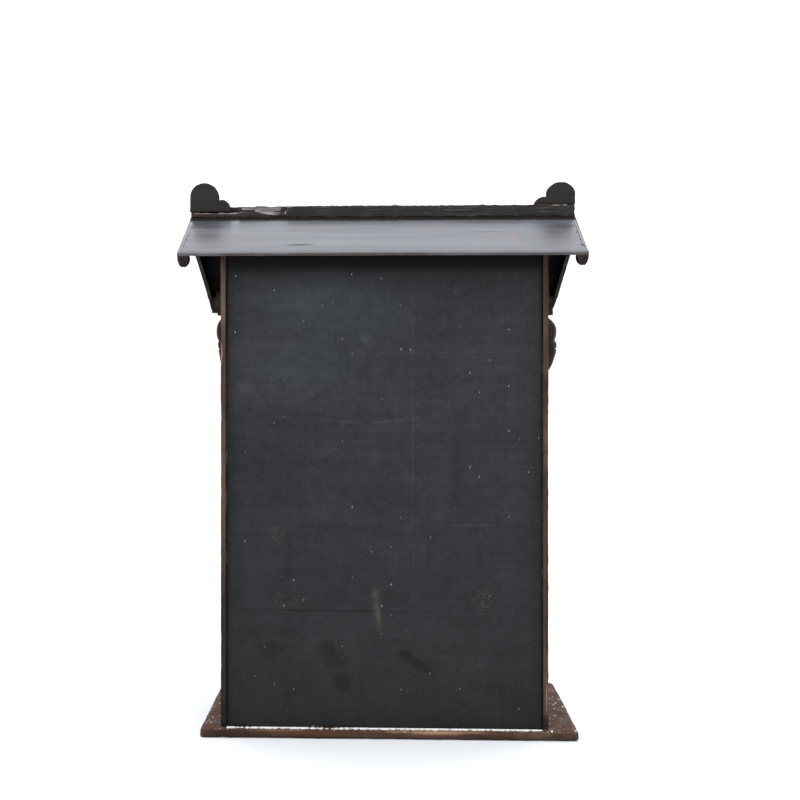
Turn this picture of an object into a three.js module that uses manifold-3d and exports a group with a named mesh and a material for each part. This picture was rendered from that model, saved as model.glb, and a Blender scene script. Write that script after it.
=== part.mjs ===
// A domestic altar shrine: an open-fronted wooden niche on a wide base plank, under a gabled roof
// whose front slope is the longer one and shelters a small porch with two hanging bud pendants.
// Millimetres, +Z up, the open front faces -Y. The origin is under the middle of the roof.
// "Left" and "right" are those of somebody who faces the open front.

import * as THREE from 'three';
import { mergeVertices } from 'three/addons/utils/BufferGeometryUtils.js';
import Module from 'manifold-3d';

const wasm = await Module();
wasm.setup();

// Clearance between pieces that meet on a sloping or curved face.
const FIT = 0.3;
// How far a cutting solid reaches past what it cuts, and how far it dips into a face it shares.
const CUT_MARGIN = 1;
const CUT_DIP = 0.01;

// Base plank. It sits a little to the left of the roof, as the pieces were nailed together, and its
// front left corner is worn round.
const BASE_WIDTH = 568;
const BASE_THICK = 14;
const BASE_BACK = 135.5;
const BASE_FRONT = -137.5;
const BASE_SHIFT = -10;
const BASE_CORNER = 7;
const BASE_WORN_CORNER = 28;
const BASE_EDGE = 2;
const BASE_SEGMENTS = 4;

// Niche: two side boards with gable-shaped tops and a lacquered back panel let in between them.
const NICHE_WIDTH = 493;
const NICHE_SHIFT = -3;
const NICHE_BACK = 127.5;
const NICHE_DEPTH = 205;
const SIDE_THICK = 9.5;
const PANEL_THICK = 6;
const PANEL_RECESS = 3.5;

// Roof: flat boards on both slopes, mitred at the apex, nailed down over the barge boards.
const ROOF_WIDTH = 607;
const ROOF_THICK = 5.5;
const APEX_Y = 32;
const APEX_Z = 799;
const BACK_EAVE_Y = 162.5;
const FRONT_EAVE_Y = -162.5;
const BACK_PITCH = THREE.MathUtils.degToRad(29.6);
const FRONT_PITCH = THREE.MathUtils.degToRad(31.5);

// Barge boards close the gable ends, deepen towards the apex and hook down at the eaves.
const BARGE_THICK = 6.5;
const BARGE_INSET = 0.5;
const BARGE_APEX_DEPTH = 50;
const BACK_BARGE_DEPTH = 15.5;
const FRONT_BARGE_DEPTH = 22;
const BARGE_CURVE = 1.5;
const BARGE_STEPS = 10;
// The hooks are thicker than the boards and whittled to a blunt tip on their outer face. Each drops
// by its own amount under the roof board.
const HOOK_THICK = 12;
const HOOK_LENGTH = 24;
const HOOK_TAPER = 4.5;
const HOOK_DROPS = { back: { left: 13.1, right: 14.7 }, front: { left: 16.5, right: 24.5 } };
// Outline of a hook behind its end: share of its length from the end, share of its drop.
const HOOK_OUTLINE = [
  [0, 0.3], [0.06, 0.62], [0.16, 0.88], [0.3, 1], [0.44, 0.97], [0.62, 0.74], [0.8, 0.42],
];

// Ridge beam and the lobed finials that stand at its ends.
const RIDGE_LENGTH = 605;
const RIDGE_DEPTH = 22;
const RIDGE_TOP = 811;
const FINIAL_THICK = 13;
const FINIAL_SEGMENTS = 14;
// Lobes of each finial: distance of the centre from the ridge's end, its height over the top of the
// beam, and the radius.
const FINIAL_LEFT = { main: [19.8, 16.6, 19.8], small: [43.5, -6.5, 19.6] };
const FINIAL_RIGHT = { main: [22.5, 13, 22.5], small: [51, -4, 14] };
const RIDGE_REBATE = 10;
const RIDGE_REBATE_LENGTH = 76;
const REBATE_BEVEL = 3.5;
// The chip: how far from the ridge's end it starts, and its lower edge as share of its length
// and depth under the beam's top.
const CHIP_START = 76.5;
const CHIP_LENGTH = 78;
const CHIP_EDGE = [[0, 1.2], [0.3, 4.5], [0.62, 8], [0.86, 9.5], [0.97, 5], [1, 0.4]];
const CHIP_DEPTH = 7;

// Front of the niche: posts, header with a lobed apron, and a low panelled breast.
const POST_SIZE = 20;
const POST_CHAMFER = 2;
const HEADER_THICK = 8;
const HEADER_BOTTOM = 640;
const APRON_LOBES = { middle: 20, ends: 78, lobes: 11, sweep: 3 };
const APRON_THICK = 6;
const APRON_SETBACK = 1;
const LOBE_ROUNDNESS = 0.5;
const SILL_HEIGHT = 16;
const SILL_DEPTH = 16;
const SILL_SETBACK = 2;
const SILL_CHAMFER = 1.5;
const BREAST_TOP = 92;
const RAIL_HEIGHT = 14;
const RAIL_CHAMFER = 2;
const BREAST_THICK = 6;
const BREAST_SETBACK = 6;
const BREAST_FIELDS = 3;
const FIELD_RAISE = 3;
const FIELD_SEGMENTS = 5;
// Half the width and height of a raised field as shares of its bay, and its lobes' radius as a share
// of that half height.
const FIELD_SHARES = { width: 0.42, height: 0.34, lobe: 0.5 };

// Porch: an eave rail on two scroll brackets, with a lobed valance and the two pendants.
const PORCH_SHIFT = -4;
const PENDANT_SPREAD = 279;
const PENDANT_Y = -144.5;
const PENDANT_CAP = 13;
const PENDANT_CAP_WIDTH = 24;
const PENDANT_RADIUS = 15;
const PENDANT_SEGMENTS = 32;
const PENDANT_NECK = 8;
const PENDANT_RING = [44, 59];
const PENDANT_RIBS = 8;
const RIB_DEPTH = 0.1;
const RAIL_THICK = 16;
const RAIL_BOTTOM = 658;
const VALANCE_LOBES = { middle: 8, ends: 20, lobes: 15, sweep: 4 };
const VALANCE_THICK = 6;
const VALANCE_GAP = 1;
const BRACKET_THICK = 12;
const BRACKET_RISE = 12;
// Lobes of a scroll bracket: share of the reach from rail to post, depth under its top, radius.
const BRACKET_LOBES = [[0.24, 16, 9], [0.58, 32, 12], [0.82, 70, 10]];
const BRACKET_LOBE_END = 1.7 * Math.PI;
const BRACKET_SEGMENTS = 6;

const lacquer = new THREE.MeshStandardMaterial({ color: 0x1b1c1e, roughness: 0.35, metalness: 0 });
const panelLacquer = new THREE.MeshStandardMaterial({ color: 0x2c2f32, roughness: 0.6, metalness: 0 });
const darkWood = new THREE.MeshStandardMaterial({ color: 0x33281f, roughness: 0.7, metalness: 0 });
const wornWood = new THREE.MeshStandardMaterial({ color: 0x5a4336, roughness: 0.8, metalness: 0 });

// Heights of the roof's upper face.
function roofTop(y) {
  const pitch = y > APEX_Y ? BACK_PITCH : FRONT_PITCH;
  return APEX_Z - Math.abs(y - APEX_Y) * Math.tan(pitch);
}

// Heights of the roof's lower face, less the clearance that what stands under it keeps.
function underRoof(y) {
  const pitch = y > APEX_Y ? BACK_PITCH : FRONT_PITCH;
  return roofTop(y) - (ROOF_THICK + FIT) / Math.cos(pitch);
}

function mesh(name, geometry, material) {
  const made = new THREE.Mesh(geometry, material);
  made.name = name;
  return made;
}

function polygon(points) {
  return new THREE.Shape(points.map(([u, v]) => new THREE.Vector2(u, v)));
}

function rectangle(u0, v0, u1, v1) {
  return polygon([[u0, v0], [u1, v0], [u1, v1], [u0, v1]]);
}

// A plate cut to an outline, its thickness along local z, with its edges eased by a chamfer.
function plate(outline, thick, chamfer = 0, curveSegments = 10) {
  const options = { depth: thick - 2 * chamfer, curveSegments, bevelEnabled: chamfer > 0 };
  if (chamfer > 0) {
    options.bevelSegments = 1;
    options.bevelSize = chamfer;
    options.bevelThickness = chamfer;
    options.bevelOffset = -chamfer;
  }
  const geometry = new THREE.ExtrudeGeometry(outline, options);
  if (chamfer > 0) geometry.translate(0, 0, chamfer);
  return geometry;
}

// Stands a plate drawn in (y, z) across the shrine, from x0 towards +X.
function acrossX(name, geometry, material, x0) {
  const made = mesh(name, geometry, material);
  made.rotation.set(Math.PI / 2, Math.PI / 2, 0);
  made.position.x = x0;
  return made;
}

// Stands a plate drawn in (x, z) upright, its thickness from yBack towards the front.
function facing(name, geometry, material, yBack) {
  const made = mesh(name, geometry, material);
  made.rotation.x = Math.PI / 2;
  made.position.y = yBack;
  return made;
}

// A closed geometry as a solid that can be joined and cut.
function toSolid(geometry) {
  const bare = geometry.clone();
  bare.deleteAttribute('normal');
  bare.deleteAttribute('uv');
  const merged = mergeVertices(bare, 1e-3);
  return new wasm.Manifold(new wasm.Mesh({
    numProp: 3,
    vertProperties: merged.attributes.position.array,
    triVerts: new Uint32Array(merged.index.array),
  }));
}

// A solid back to a geometry.
function fromSolid(solid) {
  const { vertProperties, triVerts } = solid.getMesh();
  const geometry = new THREE.BufferGeometry();
  geometry.setAttribute('position', new THREE.BufferAttribute(vertProperties, 3));
  geometry.setIndex(new THREE.BufferAttribute(triVerts, 1));
  geometry.computeVertexNormals();
  return geometry;
}

function makeBase() {
  const half = BASE_WIDTH / 2;
  const r = BASE_CORNER;
  const worn = BASE_WORN_CORNER;
  const outline = new THREE.Shape();
  outline.absarc(half - r, BASE_FRONT + r, r, -Math.PI / 2, 0);
  outline.absarc(half - r, BASE_BACK - r, r, 0, Math.PI / 2);
  outline.absarc(-half + r, BASE_BACK - r, r, Math.PI / 2, Math.PI);
  outline.absarc(-half + worn, BASE_FRONT + worn, worn, Math.PI, 1.5 * Math.PI);
  const plank = mesh('base_plank', plate(outline, BASE_THICK, BASE_EDGE, BASE_SEGMENTS), wornWood);
  plank.position.x = BASE_SHIFT;
  return plank;
}

function makeNiche() {
  const niche = new THREE.Group();
  niche.position.x = NICHE_SHIFT;
  const front = NICHE_BACK - NICHE_DEPTH;
  const side = polygon([
    [NICHE_BACK, BASE_THICK],
    [NICHE_BACK, underRoof(NICHE_BACK)],
    [APEX_Y, underRoof(APEX_Y)],
    [front, underRoof(front)],
    [front, BASE_THICK],
  ].reverse());
  const half = NICHE_WIDTH / 2;
  niche.add(acrossX('side_board_left', plate(side, SIDE_THICK), wornWood, -half));
  niche.add(acrossX('side_board_right', plate(side, SIDE_THICK), wornWood, half - SIDE_THICK));

  const inner = half - SIDE_THICK - FIT;
  const panelBack = NICHE_BACK - PANEL_RECESS;
  const outline = rectangle(-inner, BASE_THICK, inner, underRoof(panelBack));
  niche.add(facing('back_panel', plate(outline, PANEL_THICK), panelLacquer, panelBack));
  return niche;
}

// One roof board as a closed strip in (y, z) between the apex plane and the eave.
function roofBoard(eaveY, pitch) {
  const side = Math.sign(eaveY - APEX_Y);
  const top = APEX_Y + side * FIT / 2;
  const drop = ROOF_THICK / Math.cos(pitch);
  const square = eaveY - side * ROOF_THICK * Math.sin(pitch);
  const strip = [
    [top, roofTop(top)],
    [eaveY, roofTop(eaveY)],
    [square, roofTop(square) - drop],
    [top, roofTop(top) - drop],
  ];
  return polygon(side > 0 ? strip.reverse() : strip);
}

// The lower edge of a barge board's hook in (y, z), from the square-cut end to where it meets the
// board's own lower edge.
function hookEdge(eaveY, pitch, drop) {
  const side = Math.sign(eaveY - APEX_Y);
  const end = eaveY - side * ROOF_THICK * Math.sin(pitch);
  const top = underRoof(end);
  return HOOK_OUTLINE.map(([along, share]) => [end - side * along * HOOK_LENGTH, top - drop * share]);
}

// A barge board in (y, z), under the roof board. Its lower edge deepens towards the apex.
function bargeBoard(eaveY, pitch, eaveDepth, drop) {
  const side = Math.sign(eaveY - APEX_Y);
  const top = APEX_Y + side * FIT / 2;
  const run = Math.abs(eaveY - top);
  const lower = (u) => eaveDepth + (BARGE_APEX_DEPTH - eaveDepth) * (u / run) ** BARGE_CURVE;
  const hook = hookEdge(eaveY, pitch, drop);
  const points = [[top, underRoof(top)], [hook[0][0], underRoof(hook[0][0])], ...hook];
  for (let i = 0; i <= BARGE_STEPS; i += 1) {
    const u = HOOK_LENGTH + (run - HOOK_LENGTH) * i / BARGE_STEPS;
    const y = eaveY - side * u;
    points.push([y, roofTop(y) - lower(u)]);
  }
  return polygon(side > 0 ? points.reverse() : points);
}

// The thick part of a hook in (y, z): the hook's own outline closed level under the roof board.
function hookCheek(eaveY, pitch, drop) {
  const hook = hookEdge(eaveY, pitch, drop);
  const ceiling = underRoof(hook[0][0]);
  const last = eaveY - Math.sign(eaveY - APEX_Y) * HOOK_LENGTH;
  const points = [[hook[0][0], ceiling], ...hook, [last, ceiling]];
  return polygon(eaveY > APEX_Y ? points.reverse() : points);
}

// A plate drawn in (y, z) as a solid that stands across the shrine, from x0 towards +X.
function solidAcross(outline, thick, x0) {
  const geometry = plate(outline, thick);
  geometry.rotateZ(Math.PI / 2);
  geometry.rotateY(Math.PI / 2);
  geometry.translate(x0, 0, 0);
  return toSolid(geometry);
}

// A barge board with its hook: the board, the thick hook inside it, and a slanting cut that takes
// the hook's outer face in towards the tip.
function bargeGeometry(slope, eaveY, pitch, eaveDepth, side) {
  const drop = HOOK_DROPS[slope][side];
  const sign = side === 'left' ? -1 : 1;
  const outer = ROOF_WIDTH / 2 - BARGE_INSET;
  const boardStart = side === 'left' ? -outer : outer - BARGE_THICK;
  const cheekStart = side === 'left' ? -outer : outer - HOOK_THICK;
  const board = solidAcross(bargeBoard(eaveY, pitch, eaveDepth, drop), BARGE_THICK, boardStart);
  const cheek = solidAcross(hookCheek(eaveY, pitch, drop), HOOK_THICK, cheekStart);
  const end = hookEdge(eaveY, pitch, drop)[0][0];
  const top = underRoof(end);
  const points = [
    [sign * outer, top],
    [sign * (outer + CUT_MARGIN), top],
    [sign * (outer + CUT_MARGIN), top - drop - CUT_MARGIN],
    [sign * (outer - HOOK_TAPER), top - drop - CUT_MARGIN],
    [sign * (outer - HOOK_TAPER), top - drop],
  ];
  const cut = plate(polygon(sign > 0 ? points.reverse() : points), HOOK_LENGTH + 2 * CUT_MARGIN);
  cut.rotateX(Math.PI / 2);
  const cutBack = eaveY > APEX_Y ? end + CUT_MARGIN : end + HOOK_LENGTH + CUT_MARGIN;
  cut.translate(0, cutBack, 0);
  return fromSolid(board.add(cheek).subtract(toSolid(cut)));
}

function makeRoof() {
  const roof = new THREE.Group();
  const slopes = [
    ['back', BACK_EAVE_Y, BACK_PITCH, BACK_BARGE_DEPTH],
    ['front', FRONT_EAVE_Y, FRONT_PITCH, FRONT_BARGE_DEPTH],
  ];
  for (const [slope, eaveY, pitch, eaveDepth] of slopes) {
    const board = plate(roofBoard(eaveY, pitch), ROOF_WIDTH);
    roof.add(acrossX(`roof_board_${slope}`, board, lacquer, -ROOF_WIDTH / 2));
    for (const side of ['left', 'right']) {
      const barge = bargeGeometry(slope, eaveY, pitch, eaveDepth, side);
      roof.add(mesh(`barge_board_${side}_${slope}`, barge, darkWood));
    }
  }
  return roof;
}

// A box as a solid for cutting, between two corners.
function blockSolid(low, high) {
  const size = high.map((v, i) => v - low[i]);
  const box = new THREE.BoxGeometry(...size);
  box.translate(...low.map((v, i) => v + size[i] / 2));
  return toSolid(box);
}

// The ridge beam straddles the apex. At its right end the back face is rebated for the finial and
// eased below it, and next to that the upper back edge has split off in a long chip.
function ridgeBeamGeometry() {
  const back = APEX_Y + RIDGE_DEPTH / 2;
  const front = APEX_Y - RIDGE_DEPTH / 2;
  const section = polygon([
    [front, roofTop(front) + FIT],
    [APEX_Y, APEX_Z + FIT],
    [back, roofTop(back) + FIT],
    [back, RIDGE_TOP],
    [front, RIDGE_TOP],
  ]);
  const beam = plate(section, RIDGE_LENGTH);
  beam.rotateY(Math.PI / 2);
  beam.rotateX(Math.PI / 2);
  beam.translate(-RIDGE_LENGTH / 2, 0, 0);
  const end = RIDGE_LENGTH / 2;
  const ledge = RIDGE_TOP - RIDGE_REBATE;
  const rebate = blockSolid(
    [end - RIDGE_REBATE_LENGTH, back - FINIAL_THICK, ledge],
    [end + CUT_MARGIN, back + CUT_MARGIN, RIDGE_TOP + CUT_MARGIN]);
  const bevel = plate(polygon([
    [back - REBATE_BEVEL, ledge + CUT_DIP],
    [back + CUT_DIP, ledge - REBATE_BEVEL],
    [back + CUT_MARGIN, ledge + CUT_DIP],
  ]), RIDGE_REBATE_LENGTH + CUT_MARGIN);
  bevel.rotateY(Math.PI / 2);
  bevel.rotateX(Math.PI / 2);
  bevel.translate(end - RIDGE_REBATE_LENGTH, 0, 0);
  const chipStart = end - CHIP_START;
  const chipEdge = CHIP_EDGE.map(
    ([share, depth]) => [chipStart - CHIP_LENGTH * share, RIDGE_TOP - depth]);
  const chip = plate(polygon([
    [chipStart, RIDGE_TOP + CUT_MARGIN],
    [chipStart - CHIP_LENGTH, RIDGE_TOP + CUT_MARGIN],
    ...chipEdge.reverse(),
  ]), CHIP_DEPTH + CUT_MARGIN);
  chip.rotateX(Math.PI / 2);
  chip.translate(0, back + CUT_MARGIN, 0);
  return fromSolid(toSolid(beam).subtract(rebate).subtract(toSolid(bevel)).subtract(toSolid(chip)));
}

// A finial board in (u, z): u runs from the outer end of the ridge towards the middle. A round main
// lobe stands on a straight foot, and a small lobe leads down to the beam.
function finialOutline(foot, { main, small }) {
  const [mainU, mainRise, mainR] = main;
  const [smallU, smallRise, smallR] = small;
  const mainZ = RIDGE_TOP + mainRise;
  const smallZ = RIDGE_TOP + smallRise;
  const gap = Math.hypot(smallU - mainU, smallZ - mainZ);
  const towards = Math.atan2(smallZ - mainZ, smallU - mainU);
  const spread = Math.acos((mainR ** 2 + gap ** 2 - smallR ** 2) / (2 * mainR * gap));
  const smallSpread = Math.acos((smallR ** 2 + gap ** 2 - mainR ** 2) / (2 * smallR * gap));
  const meet = Math.asin((foot - smallZ) / smallR);
  const outline = new THREE.Shape();
  outline.moveTo(mainU - mainR, foot);
  outline.lineTo(smallU + smallR * Math.cos(meet), foot);
  outline.absarc(smallU, smallZ, smallR, meet, towards + Math.PI - smallSpread);
  outline.absarc(mainU, mainZ, mainR, towards + spread, Math.PI);
  return outline;
}

function makeRidge() {
  const ridge = new THREE.Group();
  ridge.add(mesh('ridge_beam', ridgeBeamGeometry(), darkWood));
  const back = APEX_Y + RIDGE_DEPTH / 2;
  const stand = RIDGE_TOP + FIT;

  // The left one stands on the beam. It is drawn from its outer end, at -X, towards the middle.
  const left = plate(finialOutline(stand, FINIAL_LEFT), FINIAL_THICK, 0, FINIAL_SEGMENTS);
  const leftMesh = facing('ridge_finial_left', left, lacquer, back);
  leftMesh.position.x = -RIDGE_LENGTH / 2;
  ridge.add(leftMesh);

  // The right one is let down into the rebate, so its foot is lower; it is turned round to mirror.
  const foot = RIDGE_TOP - RIDGE_REBATE + FIT;
  const right = plate(finialOutline(foot, FINIAL_RIGHT), FINIAL_THICK - FIT, 0, FINIAL_SEGMENTS);
  const rightMesh = facing('ridge_finial_right', right, lacquer, 0);
  rightMesh.rotation.set(Math.PI / 2, 0, Math.PI, 'ZYX');
  rightMesh.position.set(RIDGE_LENGTH / 2, back - FINIAL_THICK + FIT, 0);
  ridge.add(rightMesh);
  return ridge;
}

// A straight-topped hanging board in (x, z). Its lower edge is a run of equal lobes whose cusps lie
// on a curve that sweeps down from the middle to both ends, as in a cusped arch.
function lobedBoard(halfWidth, top, { middle, ends, lobes, sweep }) {
  const cusps = Array.from({ length: lobes + 1 }, (_, i) => {
    const x = -halfWidth + (2 * halfWidth * i) / lobes;
    const depth = middle + (ends - middle) * Math.abs(x / halfWidth) ** sweep;
    return new THREE.Vector2(x, top - depth);
  });
  const outline = new THREE.Shape();
  outline.moveTo(halfWidth, top);
  outline.lineTo(-halfWidth, top);
  outline.lineTo(cusps[0].x, cusps[0].y);
  for (let i = 1; i <= lobes; i += 1) {
    const [from, to] = [cusps[i - 1], cusps[i]];
    const bulge = new THREE.Vector2(to.y - from.y, from.x - to.x).multiplyScalar(LOBE_ROUNDNESS);
    outline.bezierCurveTo(
      from.x + bulge.x, from.y + bulge.y, to.x + bulge.x, to.y + bulge.y, to.x, to.y);
  }
  return outline;
}

// A raised field with lobed ends, lying in (x, z).
function cartouche(x, z, halfWidth, halfHeight) {
  const r = halfHeight * FIELD_SHARES.lobe;
  const outline = new THREE.Shape();
  outline.absarc(x + halfWidth - r, z - r, r, -Math.PI / 2, Math.PI / 6);
  outline.absarc(x + halfWidth - r, z + r, r, -Math.PI / 6, Math.PI / 2);
  outline.absarc(x - halfWidth + r, z + r, r, Math.PI / 2, Math.PI * 7 / 6);
  outline.absarc(x - halfWidth + r, z - r, r, Math.PI * 5 / 6, Math.PI * 3 / 2);
  return outline;
}

function makeFront() {
  const group = new THREE.Group();
  group.position.x = NICHE_SHIFT;
  const back = NICHE_BACK - NICHE_DEPTH - FIT;
  const outer = NICHE_WIDTH / 2;
  const inner = outer - POST_SIZE;
  const postTop = underRoof(back - POST_SIZE);

  const postSection = rectangle(-POST_SIZE / 2, -POST_SIZE / 2, POST_SIZE / 2, POST_SIZE / 2);
  for (const [side, sign] of [['left', -1], ['right', 1]]) {
    const post = plate(postSection, postTop - BASE_THICK, POST_CHAMFER);
    const made = mesh(`front_post_${side}`, post, darkWood);
    made.position.set(sign * (outer - POST_SIZE / 2), back - POST_SIZE / 2, BASE_THICK);
    group.add(made);
  }

  const half = inner - FIT;
  const faceBack = back - (POST_SIZE - HEADER_THICK) / 2;
  const headerTop = underRoof(faceBack - HEADER_THICK);
  const header = plate(rectangle(-half, HEADER_BOTTOM, half, headerTop), HEADER_THICK);
  group.add(facing('front_header', header, lacquer, faceBack));

  const apron = plate(lobedBoard(half, HEADER_BOTTOM - FIT, APRON_LOBES), APRON_THICK);
  group.add(facing('front_apron', apron, lacquer, faceBack - APRON_SETBACK));

  const sillTop = BASE_THICK + SILL_HEIGHT;
  const sill = plate(rectangle(-half, BASE_THICK, half, sillTop), SILL_DEPTH, SILL_CHAMFER);
  group.add(facing('front_sill', sill, darkWood, back - SILL_SETBACK));

  const railBottom = BREAST_TOP - RAIL_HEIGHT;
  const rail = plate(rectangle(-half, railBottom, half, BREAST_TOP), SILL_DEPTH, RAIL_CHAMFER);
  group.add(facing('breast_rail', rail, darkWood, back - SILL_SETBACK));

  const low = sillTop + FIT;
  const high = railBottom - FIT;
  const breast = toSolid(plate(rectangle(-half, low, half, high), BREAST_THICK));
  const pitch = 2 * half / BREAST_FIELDS;
  let carved = breast;
  for (let i = 0; i < BREAST_FIELDS; i += 1) {
    const x = -half + (i + 0.5) * pitch;
    const field = plate(
      cartouche(x, (low + high) / 2, pitch * FIELD_SHARES.width, (high - low) * FIELD_SHARES.height),
      BREAST_THICK, FIELD_RAISE / 2, FIELD_SEGMENTS);
    field.translate(0, 0, FIELD_RAISE);
    carved = carved.add(toSolid(field));
  }
  group.add(facing('breast_panel', fromSolid(carved), lacquer, back - BREAST_SETBACK));
  return group;
}

// A hanging bud: cap block, neck, ribbed melon, ring and pointed bud, as [radius, height] pairs
// down from the underside of the cap.
function pendantGeometry() {
  const r = PENDANT_RADIUS;
  const cap = new THREE.BoxGeometry(PENDANT_CAP_WIDTH, PENDANT_CAP_WIDTH, PENDANT_CAP);
  cap.translate(0, 0, -PENDANT_CAP / 2);
  const profile = [
    [0, 1], [0.36, 1], [0.3, -3], [0.4, -5], [0.66, -9], [0.88, -15], [0.98, -22], [1, -30],
    [0.95, -37], [0.78, -43], [0.8, -44.5], [0.96, -46.5], [1.01, -51], [0.95, -55.5],
    [0.79, -58], [0.84, -60], [0.82, -66], [0.7, -76], [0.5, -86], [0.26, -94], [0, -98],
  ].map(([share, z]) => new THREE.Vector2(share * r, z - PENDANT_CAP));
  const turned = new THREE.LatheGeometry(profile.reverse(), PENDANT_SEGMENTS);
  turned.rotateX(Math.PI / 2);
  const place = turned.attributes.position;
  const [ringTop, ringBottom] = PENDANT_RING;
  for (let i = 0; i < place.count; i += 1) {
    const depth = -place.getZ(i) - PENDANT_CAP;
    const plain = depth < PENDANT_NECK || (depth > ringTop && depth < ringBottom);
    const angle = Math.atan2(place.getY(i), place.getX(i));
    const wave = Math.abs(Math.cos(PENDANT_RIBS / 2 * angle));
    const rib = plain ? 1 : 1 - RIB_DEPTH * (1 - wave);
    place.setX(i, place.getX(i) * rib);
    place.setY(i, place.getY(i) * rib);
  }
  return fromSolid(toSolid(cap).add(toSolid(turned)));
}

// A scroll bracket in (y, z) that runs out from a post to the eave rail, its lower edge in lobes.
function bracketOutline(postFace, railFace) {
  const reach = postFace - railFace;
  const top = RAIL_BOTTOM + BRACKET_RISE;
  const outline = new THREE.Shape();
  outline.moveTo(railFace, top);
  for (const [share, depth, radius] of BRACKET_LOBES) {
    outline.absarc(railFace + share * reach, top - depth, radius, Math.PI, BRACKET_LOBE_END);
  }
  outline.lineTo(postFace, top - BRACKET_LOBES.at(-1)[1]);
  outline.lineTo(postFace, top);
  return outline;
}

function makePorch() {
  const group = new THREE.Group();
  const railBack = PENDANT_Y + RAIL_THICK / 2;
  const railFront = PENDANT_Y - RAIL_THICK / 2;
  const railLength = ROOF_WIDTH - 2 * (BARGE_INSET + HOOK_THICK + FIT);
  const rail = plate(polygon([
    [railFront, RAIL_BOTTOM],
    [railBack, RAIL_BOTTOM],
    [railBack, underRoof(railBack)],
    [railFront, underRoof(railFront)],
  ]), railLength);
  group.add(acrossX('eave_rail', rail, darkWood, -railLength / 2));

  const pendant = pendantGeometry();
  for (const [side, sign] of [['left', -1], ['right', 1]]) {
    const hung = mesh(`pendant_${side}`, pendant.clone(), lacquer);
    hung.position.set(PORCH_SHIFT + sign * PENDANT_SPREAD, PENDANT_Y, RAIL_BOTTOM - FIT);
    group.add(hung);
  }

  const half = PENDANT_SPREAD - PENDANT_RADIUS - VALANCE_GAP;
  const valance = plate(lobedBoard(half, RAIL_BOTTOM - FIT, VALANCE_LOBES), VALANCE_THICK);
  const hungValance = facing('eave_valance', valance, lacquer, PENDANT_Y + VALANCE_THICK / 2);
  hungValance.position.x = PORCH_SHIFT;
  group.add(hungValance);

  const postFace = NICHE_BACK - NICHE_DEPTH - POST_SIZE - 2 * FIT;
  for (const [side, sign] of [['left', -1], ['right', 1]]) {
    const outline = bracketOutline(postFace, railBack + FIT);
    const bracket = plate(outline, BRACKET_THICK, 0, BRACKET_SEGMENTS);
    const centre = NICHE_SHIFT + sign * (NICHE_WIDTH - POST_SIZE) / 2;
    group.add(acrossX(`eave_bracket_${side}`, bracket, lacquer, centre - BRACKET_THICK / 2));
  }
  return group;
}

const shrine = new THREE.Group();
shrine.name = 'altar_shrine';
shrine.add(makeBase(), makeNiche(), makeRoof(), makeRidge(), makeFront(), makePorch());

export default shrine;
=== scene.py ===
"""An old altar shrine in worn black lacquer, seen from the back, under a soft overcast light.

Every sub-assembly is a class that models its boards and dresses them. The boards start from a
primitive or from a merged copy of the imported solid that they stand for, get eased arrises, a little
warp and nicked edges, and are then given one of the finishes below. Sizes are in metres.
"""
import logging
import math
import random
from collections.abc import Callable, Mapping, Sequence
from dataclasses import dataclass, field
from enum import Enum

import bmesh
import bpy
import numpy as np
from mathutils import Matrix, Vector


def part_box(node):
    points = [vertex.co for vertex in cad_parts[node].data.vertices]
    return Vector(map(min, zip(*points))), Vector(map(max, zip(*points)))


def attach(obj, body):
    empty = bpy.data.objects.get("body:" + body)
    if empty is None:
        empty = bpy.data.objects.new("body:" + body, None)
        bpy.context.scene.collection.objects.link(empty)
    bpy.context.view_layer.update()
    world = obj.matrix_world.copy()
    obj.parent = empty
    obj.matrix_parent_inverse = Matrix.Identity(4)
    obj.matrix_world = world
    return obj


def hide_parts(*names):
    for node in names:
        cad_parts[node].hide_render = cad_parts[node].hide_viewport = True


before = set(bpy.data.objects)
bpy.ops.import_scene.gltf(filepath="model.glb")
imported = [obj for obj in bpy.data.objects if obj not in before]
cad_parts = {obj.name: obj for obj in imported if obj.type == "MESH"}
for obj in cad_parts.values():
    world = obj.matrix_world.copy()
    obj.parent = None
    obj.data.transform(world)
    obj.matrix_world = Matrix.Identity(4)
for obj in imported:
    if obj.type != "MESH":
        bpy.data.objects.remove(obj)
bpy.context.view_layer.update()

LOG = logging.getLogger("altar_shrine")
MM = 0.001
RIM = "rim"

Colour = tuple[float, float, float]
Point = tuple[float, float, float]
Outline = tuple[tuple[float, float], ...]
Piece = bpy.types.Object


class Axis(Enum):
    """The direction in which the grain of a board runs."""

    X = 0
    Y = 1
    Z = 2


class Side(Enum):
    """A side of the shrine, for somebody who faces the open front."""

    LEFT = -1
    RIGHT = 1

    @property
    def word(self) -> str:
        """The side as it stands in a node's name."""
        return self.name.lower()

    def outer(self, low: Vector, high: Vector) -> float:
        """The x of this side of a box, from its lowest and its highest corner."""
        return high.x if self is Side.RIGHT else low.x


def tone(red: int, green: int, blue: int) -> Colour:
    """Turns a colour as it looks on a screen into the linear values that a shader takes.

    Args:
        red: Red, 0 to 255.
        green: Green, 0 to 255.
        blue: Blue, 0 to 255.

    Returns:
        The linear colour.
    """
    def linear(value: int) -> float:
        """One channel."""
        share = value / 255
        return share / 12.92 if share <= 0.04045 else ((share + 0.055) / 1.055) ** 2.4

    return linear(red), linear(green), linear(blue)


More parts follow.
